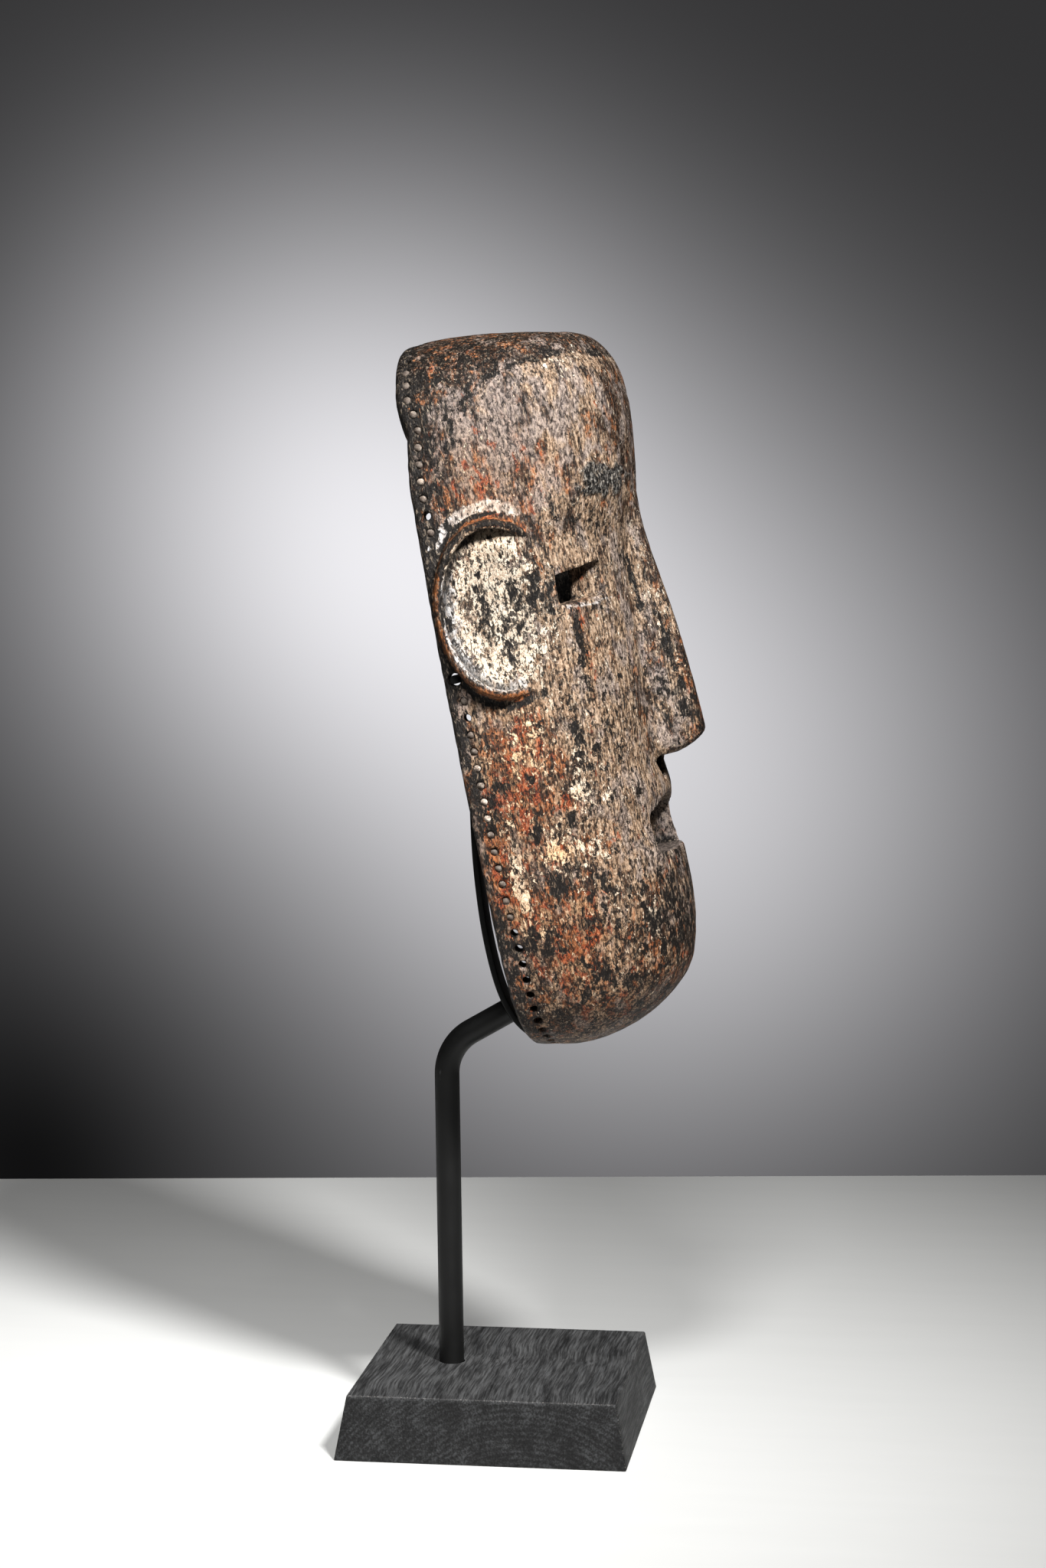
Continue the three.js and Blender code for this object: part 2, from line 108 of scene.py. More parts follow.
# Ears
EAR = {
    "forward": 28, "z": 48, "half_depth": 28, "half_height": 40.5, "start": 48, "end": 286, "steps": 130,
    "width": 4.2, "depth": 12.3, "lean": 2, "stand": 7.5, "fade_start": -8, "fade": 40,
    "side": 0.4, "crown_steps": 9,
}
EAR_DISH = {
    "forward": 30, "z": 47.5, "half_depth": 38, "half_height": 47, "bite": 5.5, "bulge": 18, "lean": 14,
    "sides": 96, "rings": 60, "pole": 0.02,
}

# Rim holes, bored in from the side; an inset is a height and how far in front of the rim they are there
HOLES = {"spacing": 7.9, "diameter": 3.4, "reach": 30}
HOLE_INSETS = [(-110, 9.6), (-60, 7.6), (60, 7.6), (100, 5.8)]

# Inputs of the tree that makes the holes and the paste in them, which is a little narrower
EAR_GAP = {"ear_low": 10.0, "ear_high": 86.0}
DRILL = {"length": 34.0, "sides": 14, "loops": 24}
PASTE = {"length": 3.0, "sink": 2.6, "sides": 12, "loops": 1, "lowest": -96.0}
PASTE_FIT = 0.98
PASTE_SEED = 5

# Cross bar and the holes for its ends
CROSS_BAR = {"diameter": 4, "forward": 1.9, "height": 20.5, "half_length": 77, "places": 9}
BAR_HOLE = {"diameter": 5.4, "reach": 100, "rings": 60, "sides": 32}

# Unevenness: size across of the lumps, how far they go, and their seed; then what is hewn off the face
UNEVEN = {
    "hewn": ((26, 26, 44), 0.9, 3), "planed": ((9, 9, 30), 0.35, 5), "lip": (9, 0.35, 11),
    "dish": (11, 0.5, 17), "crust_edge": (5, 0.30, 21), "crust_crumbs": (2.4, 0.26, 22),
    "crust_top": (3.2, 0.5, 23), "rubbed_off": (3.6, 0.16, 24), "line": (7, 2.0, 31),
    "round_ear": (5, 0.7, 33), "crown": (5, 1.0, 35), "sill": (3, 0.4, 37), "far_side": (40, 0.03, 41),
    "paste": (1.5, 0.3, 51),
}
HEWN_OFF = {"level": 0.8, "share": 0.45, "centre": 20}

# Wear: limits of a sharp edge, how its points are drawn in, and what is rubbed off all over
WEAR = {"sharp": 0.93, "even": 0.992, "spread": 2, "gain": 1.8, "pull": 0.6, "off": 0.16}

# Edges of the mask shorter than this are taken out, and its nose stays this far behind the solid's front
SHORTEST = 0.2
NOSE_BACK = 0.1

# Steel mount
ROD = {
    "diameter": 12, "foot": 12.3, "elbow_back": 1.9, "elbow_height": 185.2, "bend": 24, "rise": 30,
    "arm": 35.3, "lower_steps": 6, "bend_steps": 24,
}
STRIP = {
    "width": 16, "thickness": 3, "corner": 0.6,
    "route": [
        (-5.4, -155), (-10, -152), (-14.6, -146), (-18, -138), (-20.4, -127), (-21.8, -105),
        (-20.9, -80), (-18.3, -55), (-13.5, -27), (-6, -1), (1, 18.1),
    ],
}

# Steel: width of the round on its sharp edges, and the length below which an edge is taken out
STEEL_ROUND = 0.35
STEEL_SHORTEST = 0.02

# An edge is sharp where its faces bend by more than this
SHARP_FROM = math.radians(40)

# Base: how far its foot stands out, the rod's socket, the round on its edges, and where it is sliced
BASE = {
    "flare": 5.3, "socket": 18, "play": 0.3, "socket_sides": 48, "round": 0.7, "flat_from": math.radians(30),
    "slices": 13, "sliced": 0.46, "levels": (2, 28),
}

# Camera: worked out from the base's corners and the rod
CAMERA = {
    "lens": 73.83, "sensor": 36, "azimuth": math.radians(-82.065), "elevation": math.radians(5.092),
    "roll": math.radians(-0.204), "place": (-1.5144, -0.22285, 0.44821),
}

# Floor: half of its depth in metres, and how many times as wide it is
FLOOR = {"half_depth": 0.567, "wide": 1.6}

# Lamps: place, size and aim in metres, and the angle that their light spreads over
LAMPS = {
    "key": ((-0.88, -0.66, 1.35), 0.22, (-0.06, 0.11, 0.24)),
    "fill": ((-1.0, -0.077, 1.3), 0.26, (-0.1, 0.12, 0.2)),
}
LAMP_SPREAD = math.radians(52)

# Tint of the surroundings
SURROUNDINGS = (0.975, 0.965, 1.0)

# Pools of light and shade on the backdrop: strength, place aside and above the middle of the view, and spread
POOLS = [(0.684, -0.054, 0.085, 0.062), (0.573, 0.039, 0.001, 0.074), (-0.036, -0.14, -0.108, 0.048)]


def smooth(low, high, value):
    way = np.clip((value - low) / (high - low), 0, 1)
    return way * way * (3 - 2 * way)


def fade(low, high, value):
    return 1 - smooth(low, high, value)


def band(start, end, value):
    """1 between a soft start and a soft end, and 0 beyond them."""
    return smooth(*start, value) * fade(*end, value)


def mix(a, b, way):
    return a + (b - a) * way


def full_turn(sides):
    return np.linspace(0, 2 * math.pi, sides + 1)[:-1]


# Noise: scrambled lattice values joined smoothly, for what is carved into the mesh
SCRAMBLE = {"axes": (73856093, 19349663, 83492791), "seed": 2654435761, "key": 1274126177}


def lumps(points, size, seed):
    """Smooth noise from -1 to 1 at the points, whose lumps are size across."""
    place = np.asarray(points, float) / size
    cell = np.floor(place).astype(np.int64)
    way = place - cell
    way = way * way * (3 - 2 * way)
    total = np.zeros(len(place))
    for corner in range(8):
        step = np.array([corner & 1, (corner >> 1) & 1, (corner >> 2) & 1])
        key = ((cell + step) * np.array(SCRAMBLE["axes"])).sum(1) + seed * SCRAMBLE["seed"]
        key = (key ^ (key >> 13)) * SCRAMBLE["key"] & 0xFFFFFFFF
        value = ((key ^ (key >> 16)) & 0xFFFF) / 32767.5 - 1
        total += value * np.prod(np.where(step, way, 1 - way), axis=1)
    return total


def uneven(points, name):
    """Lumps of a named kind."""
    size, reach, seed = UNEVEN[name]
    return reach * lumps(points, size, seed)


def curve_through(points, ts):
    """The centripetal curve through the points, read at ts from 0 to 1."""
    points = np.asarray(points, float)
    ends = np.vstack([2 * points[0] - points[1], points, 2 * points[-1] - points[-2]])
    place = np.clip(np.asarray(ts, float), 0, 1) * (len(points) - 1)
    part = np.minimum(place.astype(int), len(points) - 2)
    way = (place - part)[:, None]
    a, b, c, d = (ends[part + k] for k in range(4))
    steps = (b - a, c - b, d - c)
    before, here, after = (np.sqrt(np.linalg.norm(step, axis=1))[:, None] for step in steps)
    start = ((b - a) / before - (c - a) / (before + here) + (c - b) / here) * here
    end = ((c - b) / here - (d - b) / (here + after) + (d - c) / after) * here
    bend = -3 * b + 3 * c - 2 * start - end
    twist = 2 * b - 2 * c + start + end
    return b + start * way + bend * way**2 + twist * way**3


RIM = [(x, z, depth) for x, z, depth, _, _ in STATIONS]
MIDLINE = [(depth, z) for _, _, _, depth, z in STATIONS]


def nose_rise(x, depth, z):
    ridge = curve_through(NOSE_RIDGE, np.linspace(0, 1, SAMPLES["ridge"]))[::-1]
    middle = np.maximum(0, np.interp(z, ridge[:, 1], ridge[:, 0]) - depth)
    way = np.clip((NOSE["root_z"] - z) / (NOSE["root_z"] - NOSE["tip_z"]), 0, 1)
    half = mix(NOSE["root_half"], NOSE["tip_half"], way)
    side = fade(NOSE["ridge_share"], NOSE["foot_share"], np.abs(x) / half)
    low = np.clip((z - NOSE_UNDERSIDE["low_z"]) / NOSE_UNDERSIDE["height"], 0, 1)
    return middle * side * low ** NOSE_UNDERSIDE["power"] * (z < NOSE_RIDGE[0][1])


def socket_dip(x, z):
    across = (np.abs(x) - SOCKET["x"]) / SOCKET["half_width"]
    up = (z - SOCKET["z"]) / SOCKET["half_height"]
    return SOCKET["depth"] * fade(0, 1, np.hypot(across, up))


def face_grid(ts, angles, carved=True):
    """Points of the face: rows at ts, columns at section angles from 0, the near rim, to pi, the far rim."""
    rim = curve_through(RIM, ts)[:, None, :]
    mid = curve_through(MIDLINE, ts)[:, None, :]
    across = np.sign(np.cos(angles)) * np.abs(np.cos(angles)) ** (2 / SECTION_POWER)
    out = np.clip(np.sin(angles), 0, 1) ** (2 / SECTION_POWER)
    x = -rim[..., 0] * across
    depth = mix(rim[..., 2] + RIM_BAND, mid[..., 0], out)
    z = mix(rim[..., 1], mid[..., 1], out)
    if carved:
        depth = depth + nose_rise(x, mid[..., 0], z) - socket_dip(x, z) * out
    return np.stack([x, -depth, z], -1)


def even_places(curve, count, weight):
    """Places along a sampled curve, spread evenly but closer where the weight is high."""
    step = np.linalg.norm(np.diff(curve, axis=0), axis=1)
    run = np.concatenate([[0], np.cumsum(step * (weight[1:] + weight[:-1]) / 2)])
    return np.interp(np.linspace(0, run[-1], count), run, np.linspace(0, 1, len(run)))


def side_x(depth, z):
    """Half width of the shell at a depth and height."""
    levels = np.array([station[1] for station in STATIONS])
    half = np.interp(z, levels, [station[0] for station in STATIONS])
    middle = np.interp(z, levels, [station[3] for station in STATIONS])
    floor = RIM_BACK + RIM_BAND
    out = np.clip((depth - floor) / (middle - floor), 0, 1)
    return half * (1 - out**SECTION_POWER) ** (1 / SECTION_POWER)


# Closed bodies as points and faces
def bowl(grid, drop, rings):
    """A grid made a closed body: its edges drop back, then draw in by rings to a fan."""
    rows, columns, _ = grid.shape
    index = np.arange(rows * columns).reshape(rows, columns)
    quads = [np.stack([index[:-1, :-1], index[:-1, 1:], index[1:, 1:], index[1:, :-1]], -1).reshape(-1, 4)]
    edge = np.concatenate([index[0, :-1], index[:-1, -1], index[-1, :0:-1], index[:0:-1, 0]])
    points = [grid.reshape(-1, 3)]
    outline = points[0][edge] + np.array([0, drop, 0])
    loop = edge
    count = rows * columns
    for inward in rings:
        points.append(outline * np.array([1 - inward, 1, 1 - inward]))
        ring = count + np.arange(len(edge))
        quads.append(np.stack([np.roll(loop, -1), loop, ring, np.roll(ring, -1)], -1))
        loop = ring
        count += len(edge)
    points.append([[0, outline[:, 1].mean(), 0]])
    fan = [[b, a, count] for a, b in zip(loop.tolist(), np.roll(loop, -1).tolist())]
    return np.vstack(points), np.vstack(quads).tolist() + fan


def tube(rings):
    """A closed body through rings of points, with flat ends."""
    steps, sides, _ = rings.shape
    index = np.arange(steps * sides).reshape(steps, sides)
    near, far = index[:-1], index[1:]
    quads = np.stack([near, np.roll(near, -1, 1), np.roll(far, -1, 1), far], -1).reshape(-1, 4)
    points = np.vstack([rings.reshape(-1, 3), rings[0].mean(0), rings[-1].mean(0)])
    first, last = steps * sides, steps * sides + 1
    turn = np.roll(index, -1, 1)
    caps = [[first, b, a] for a, b in zip(index[0].tolist(), turn[0].tolist())]
    caps += [[last, a, b] for a, b in zip(index[-1].tolist(), turn[-1].tolist())]
    return points, quads.tolist() + caps


def rounded_outline(corners, radius, pitch):
    """An outline with small round corners, as points about a pitch apart."""
    path = []
    corners = np.asarray(corners, float)
    for before, here, after in zip(np.roll(corners, 1, 0), corners, np.roll(corners, -1, 0)):
        back, ahead = before - here, after - here
        start = here + back / np.linalg.norm(back) * min(radius, np.linalg.norm(back) / 2.2)
        end = here + ahead / np.linalg.norm(ahead) * min(radius, np.linalg.norm(ahead) / 2.2)
        ways = np.linspace(0, 1, 5)[:, None]
        path.append((1 - ways) ** 2 * start + 2 * ways * (1 - ways) * here + ways**2 * end)
    path = np.vstack(path + [path[0][:1]])
    run = np.concatenate([[0], np.cumsum(np.linalg.norm(np.diff(path, axis=0), axis=1))])
    places = np.linspace(0, run[-1], max(12, int(run[-1] / pitch)), endpoint=False)
    return np.stack([np.interp(places, run, path[:, 0]), np.interp(places, run, path[:, 1])], -1)


def forward_prism(outline, back, front):
    """A prism whose outline is (x, z), running forward between two depths."""
    depths = np.arange(back, front + CUT_STEP, CUT_STEP)
    rings = np.empty((len(depths), len(outline), 3))
    rings[..., 0] = outline[None, :, 0]
    rings[..., 1] = -depths[:, None]
    rings[..., 2] = outline[None, :, 1]
    return tube(rings)


def front_cut(name, corners):
    """The body of a named cut from the front, with its corners rounded."""
    radius, pitch, back, front = CUTS[name]
    return mesh_object(name, forward_prism(rounded_outline(corners, radius, pitch), back, front), True)


def linked(name, data):
    """A new object in the scene."""
    made = bpy.data.objects.new(name, data)
    bpy.context.scene.collection.objects.link(made)
    return made


def mesh_object(name, body, outward=False):
    """An object from points and faces, with its faces turned outward where that is asked."""
    mesh = bpy.data.meshes.new(name)
    points, faces = body
    mesh.from_pydata(np.asarray(points).tolist(), [], faces)
    if outward:
        shape = bmesh.new()
        shape.from_mesh(mesh)
        bmesh.ops.recalc_face_normals(shape, faces=shape.faces)
        shape.to_mesh(mesh)
        shape.free()
    return linked(name, mesh)


def path_object(name, points):
    mesh = bpy.data.meshes.new(name)
    mesh.from_pydata(points, [(k, k + 1) for k in range(len(points) - 1)], [])
    return linked(name, mesh)


def evaluated_mesh(thing):
    """What an object looks like with its modifiers on, as a plain mesh."""
    graph = bpy.context.evaluated_depsgraph_get()
    return bpy.data.meshes.new_from_object(thing.evaluated_get(graph))


def keep_modifiers(thing):
    """Makes an object's modifiers part of its mesh."""
    mesh = evaluated_mesh(thing)
    thing.modifiers.clear()
    thing.data = mesh
    return thing


def carve(target, cutter, operation="DIFFERENCE"):
    """Cuts a body from another, or joins it on, and clears it away."""
    cut = target.modifiers.new("cut", "BOOLEAN")
    cut.object = cutter
    cut.operation = operation
    cut.solver = "MANIFOLD"
    keep_modifiers(target)
    bpy.data.objects.remove(cutter)


def collapse_short(mesh, distance):
    """Takes out the edges that are shorter than the distance, and the points that only two edges share."""
    shape = bmesh.new()
    shape.from_mesh(mesh)
    bmesh.ops.dissolve_degenerate(shape, dist=distance, edges=shape.edges)
    bmesh.ops.dissolve_verts(shape, verts=[vert for vert in shape.verts if len(vert.link_edges) == 2])
    bmesh.ops.triangulate(shape, faces=[face for face in shape.faces if len(face.verts) > 4])
    shape.to_mesh(mesh)
    shape.free()


def vectors(items, key):
    """One vector for each item of a mesh, such as its points."""
    flat = np.empty(len(items) * 3)
    items.foreach_get(key, flat)
    return flat.reshape(-1, 3)


def points_of(mesh):
    return vectors(mesh.vertices, "co")


def set_points(mesh, points):
    mesh.vertices.foreach_set("co", np.ascontiguousarray(points, float).ravel())
    mesh.update()


def normals_of(mesh):
    return vectors(mesh.vertex_normals, "vector")


def store(mesh, name, values):
    layer = mesh.attributes.new(name, "FLOAT", "POINT")
    layer.data.foreach_set("value", np.ascontiguousarray(values, np.float32))


class Neighbours:
    """The edges of a mesh, for averaging values over neighbouring points."""

    def __init__(self, mesh):
        ends = np.empty(len(mesh.edges) * 2, np.int64)
        mesh.edges.foreach_get("vertices", ends)
        self.first, self.second = ends.reshape(-1, 2).T
        self.size = len(mesh.vertices)
        self.count = np.maximum(1, np.bincount(ends, minlength=self.size))

    def mean(self, values):
        if values.ndim > 1:
            return np.stack([self.mean(column) for column in values.T], -1)
        total = np.bincount(self.first, values[self.second], self.size)
        total += np.bincount(self.second, values[self.first], self.size)
        return total / self.count

    def blurred(self, values, rounds):
        for _ in range(rounds):
            values = (values + self.mean(values)) / 2
        return values


def sharpness(mesh):
    """1 where the faces round a point turn sharply, 0 where they are nearly level."""
    count = len(mesh.polygons)
    areas = np.empty(count)
    sizes = np.empty(count, np.int64)
    corners = np.empty(len(mesh.loops), np.int64)
    mesh.polygons.foreach_get("area", areas)
    mesh.polygons.foreach_get("loop_total", sizes)
    mesh.loops.foreach_get("vertex_index", corners)
    weighted = np.repeat(vectors(mesh.polygons, "normal") * areas[:, None], sizes, axis=0)
    size = len(mesh.vertices)
    total = np.stack([np.bincount(corners, weighted[:, k], size) for k in range(3)], -1)
    area = np.maximum(1e-9, np.bincount(corners, np.repeat(areas, sizes), size))
    return fade(WEAR["sharp"], WEAR["even"], np.linalg.norm(total, axis=1) / area)


def paint(thing, finish):
    """Gives an object its one material."""
    thing.data.materials.clear()
    thing.data.materials.append(finish)


def stand_pose():
    """Where the stand stands, in millimetres."""
    return Matrix.Translation((0, STAND_BACK, 0)) @ Matrix.Rotation(YAW, 4, "Z")


def mask_placement():
    """From the mask's own millimetres to metres."""
    pose = stand_pose() @ Matrix.Translation(MASK_CENTRE) @ Matrix.Rotation(-LEAN, 4, "X")
    return Matrix.Scale(MM, 4) @ pose


# The mask's body
def face_body(pitch):
    """The dense outer shell, with the unevenness that a carver's blade leaves."""
    fine = np.linspace(0, 1, SAMPLES["midline"])
    rows = even_places(curve_through(MIDLINE, fine), int(MIDLINE_RUN / pitch), np.ones(len(fine)))
    angles = np.linspace(0, math.pi, SAMPLES["section"])
    section = face_grid([0.5], angles)[0]
    by_rim = np.minimum(angles, math.pi - angles) < CLOSER["rim_angle"]
    by_nose = np.abs(section[:, 0]) < CLOSER["nose_x"]
    closer = 1 + CLOSER["rim"] * by_rim + CLOSER["nose"] * by_nose
    columns = even_places(section, int(SECTION_RUN / pitch), closer) * math.pi
    grid = face_grid(rows, columns)
    flat = grid.reshape(-1, 3)
    hewn = HEWN_OFF["level"] + HEWN_OFF["share"] * (uneven(flat, "hewn") + uneven(flat, "planed"))
    outward = flat - np.array([0, HEWN_OFF["centre"], 0])
    outward /= np.linalg.norm(outward, axis=1)[:, None]
    off_rim = smooth(-2, 8, -flat[:, 1])
    flat = flat - outward * (hewn * off_rim)[:, None]
    return bowl(flat.reshape(grid.shape), RIM_BAND, RIM_RINGS)


def cavity_body():
    """The hollow, with the overlapping scoops of an adze."""
    rows = np.linspace(0, 1, CAVITY["rows"])
    columns = np.linspace(0, math.pi, CAVITY["columns"])
    grid = face_grid(rows, columns, carved=False)
    floor = RIM_BACK + RIM_BAND
    depth = floor + (-grid[..., 1] - floor) * CAVITY["deep"]
    along = (rows * CAVITY["scoops_along"])[:, None]
    across = (columns / math.pi * CAVITY["scoops_across"])[None, :] + 0.5 * (np.floor(along) % 2)
    scoop = (1 - (2 * (across % 1) - 1) ** 2) * (1 - (2 * (along % 1) - 1) ** 2)
    shrink = 1 - CAVITY["scoop"] * (1 - scoop)
    x = grid[..., 0] * CAVITY["across"] * shrink
    return bowl(np.stack([x, -depth * shrink, grid[..., 2] * CAVITY["along"]], -1), CAVITY["drop"], [0])


def ear_lip_body(side):
    """The raised rim of an ear: a leaning bar that follows an arc on the side of the shell."""
    degrees = np.linspace(EAR["start"], EAR["end"], EAR["steps"])
    angle = np.radians(degrees)
    depth = EAR["forward"] + EAR["half_depth"] * np.cos(angle)
    z = EAR["z"] + EAR["half_height"] * np.sin(angle)
    from_end = np.minimum(degrees - EAR["start"], EAR["end"] - degrees)
    stand = EAR["stand"] * smooth(EAR["fade_start"], EAR["fade"], from_end) - EAR["depth"] / 2
    route = np.stack([side * (side_x(depth, z) + stand), -depth, z], -1)
    tangent = np.gradient(route, axis=0)
    across = np.cross(tangent, np.array([side, 0, 0]))
    across /= np.linalg.norm(across, axis=1)[:, None]
    half, top = EAR["width"] / 2, EAR["depth"] / 2
    crown = np.linspace(0, math.pi, EAR["crown_steps"])
    bar = [(-half, -top), (half, -top), (half, -top / 2), (half, 0), (half, top * EAR["side"])]
    bar += [(half * math.cos(t), top - half + half * math.sin(t)) for t in crown]
    bar += [(-half, top * EAR["side"]), (-half, 0), (-half, -top / 2)]
    section = np.array(bar)
    lean = EAR["lean"] * side * smooth(-top, top, section[:, 1])
    rings = route[:, None, :] + across[:, None, :] * (section[:, 0] + lean)[None, :, None]
    rings = rings + np.array([side, 0, 0]) * section[:, 1][None, :, None]
    wander = uneven(rings.reshape(-1, 3), "lip").reshape(rings.shape[:2])
    rings[..., 0] -= side * np.abs(wander)
    return tube(rings)


def ear_dish_body(side):
    """The shallow hollow of an ear, as part of an egg laid on the side of the shell."""
    turn = full_turn(EAR_DISH["sides"])
    up = np.linspace(EAR_DISH["pole"], math.pi - EAR_DISH["pole"], EAR_DISH["rings"])
    egg = np.empty((len(up), len(turn), 3))
    egg[..., 0] = np.sin(up)[:, None] * np.cos(turn) * EAR_DISH["bulge"]
    egg[..., 1] = np.sin(up)[:, None] * np.sin(turn) * EAR_DISH["half_depth"]
    egg[..., 2] = np.cos(up)[:, None] * EAR_DISH["half_height"]
    lean = -side * math.radians(EAR_DISH["lean"])
    x = egg[..., 0] * math.cos(lean) - egg[..., 1] * math.sin(lean)
    y = egg[..., 0] * math.sin(lean) + egg[..., 1] * math.cos(lean)
    reach = side_x(EAR_DISH["forward"], EAR_DISH["z"]) + EAR_DISH["bulge"] - EAR_DISH["bite"]
    egg = np.stack([x + side * reach, y - EAR_DISH["forward"], egg[..., 2] + EAR_DISH["z"]], -1)
    wander = uneven(egg.reshape(-1, 3), "dish").reshape(egg.shape[:2])
    egg[..., 0] += side * np.abs(wander)
    return tube(egg)


def mouth_corners():
    ways = np.linspace(1, -1, MOUTH["steps"] + 1)
    arch = [(w * MOUTH["half_width"], mix(MOUTH["top_z"], MOUTH["corner_z"], w * w)) for w in ways]
    return [(-MOUTH["half_width"], MOUTH["bottom_z"]), (MOUTH["half_width"], MOUTH["bottom_z"])] + arch


def bar_hole_body():
    turn = full_turn(BAR_HOLE["sides"])
    radius = BAR_HOLE["diameter"] / 2
    rings = np.empty((BAR_HOLE["rings"], len(turn), 3))
    rings[..., 0] = np.linspace(-BAR_HOLE["reach"], BAR_HOLE["reach"], BAR_HOLE["rings"])[:, None]
    rings[..., 1] = -CROSS_BAR["forward"] + np.cos(turn) * radius
    rings[..., 2] = CROSS_BAR["height"] + np.sin(turn) * radius
    return tube(rings)


def hole_route(side, shell):
    """The row of holes as points on the shell, with the way each hole is bored."""
    fine = curve_through(RIM, np.linspace(0, 1, SAMPLES["rim"]))
    run = np.concatenate([[0], np.cumsum(np.linalg.norm(np.diff(fine, axis=0), axis=1))])
    count = int(run[-1] / HOLES["spacing"])
    end = 0.5 / (count + 1)
    share = np.linspace(end, 1 - end, SAMPLES["holes"])
    place = np.stack([np.interp(share * run[-1], run, fine[:, k]) for k in range(3)], -1)
    way = np.gradient(place, axis=0)
    inset = np.interp(place[:, 1], *zip(*HOLE_INSETS))
    bore = np.stack([side * way[:, 1], np.zeros(len(way)), -way[:, 0]], -1)
    bore /= np.linalg.norm(bore, axis=1)[:, None]
    middle = np.stack([side * place[:, 0], -(place[:, 2] + inset), place[:, 1]], -1)
    points, bores = [], []
    for centre, outward in zip(middle, bore):
        hit = shell.ray_cast(Vector(centre + outward * HOLES["reach"]), Vector(-outward))[0]
        if hit is not None:
            points.append(tuple(hit))
            bores.append(tuple(outward))
    route = path_object("hole_route", points)
    layer = route.data.attributes.new("bore", "FLOAT_VECTOR", "POINT")
    layer.data.foreach_set("vector", np.array(bores, np.float32).ravel())
    return route, count + 1


# Geometry node trees
def geometry_tree(name, inputs):
    """A tree with a geometry in and out, and a named input for each size."""
    tree = bpy.data.node_groups.new(name, "GeometryNodeTree")
    tree.interface.new_socket("Geometry", in_out="INPUT", socket_type="NodeSocketGeometry")
    for label, kind, default in inputs:
        socket = tree.interface.new_socket(label, in_out="INPUT", socket_type="NodeSocket" + kind)
        if default is not None:
            socket.default_value = default
    tree.interface.new_socket("Geometry", in_out="OUTPUT", socket_type="NodeSocketGeometry")
    return tree, tree.nodes.new("NodeGroupInput").outputs, tree.nodes.new("NodeGroupOutput").inputs


def feed(tree, sockets, values):
    """Sets inputs to their values, or links them where the value is a socket."""
    for key, value in values.items():
        if isinstance(value, bpy.types.NodeSocket):
            tree.links.new(value, sockets[key])
        else:
            sockets[key].default_value = value


def node(tree, kind, inputs=None, **settings):
    """Adds a node with its settings and inputs."""
    made = tree.nodes.new(kind)
    for name, value in settings.items():
        setattr(made, name, value)
    feed(tree, made.inputs, inputs or {})
    return made


def first(tree, kind, inputs=None, **settings):
    """Adds a node and gives its first output."""
    return node(tree, kind, inputs, **settings).outputs[0]


def end_tree(tree, given, result, shape):
    """Ends a tree in Realize Instances and Set Material."""
    real = first(tree, "GeometryNodeRealizeInstances", {0: shape})
    done = first(tree, "GeometryNodeSetMaterial", {"Geometry": real, "Material": given["Material"]})
    tree.links.new(done, result["Geometry"])
    return tree


def grow(thing, tree, **sizes):
    """Runs a geometry tree on an object and keeps the result as its mesh."""
    modifier = thing.modifiers.new("grow", "NODES")
    modifier.node_group = tree
    for item in tree.interface.items_tree:
        key = item.name.lower().replace(" ", "_")
        if item.in_out == "INPUT" and key in sizes:
            modifier[item.identifier] = sizes[key]
    return keep_modifiers(thing)


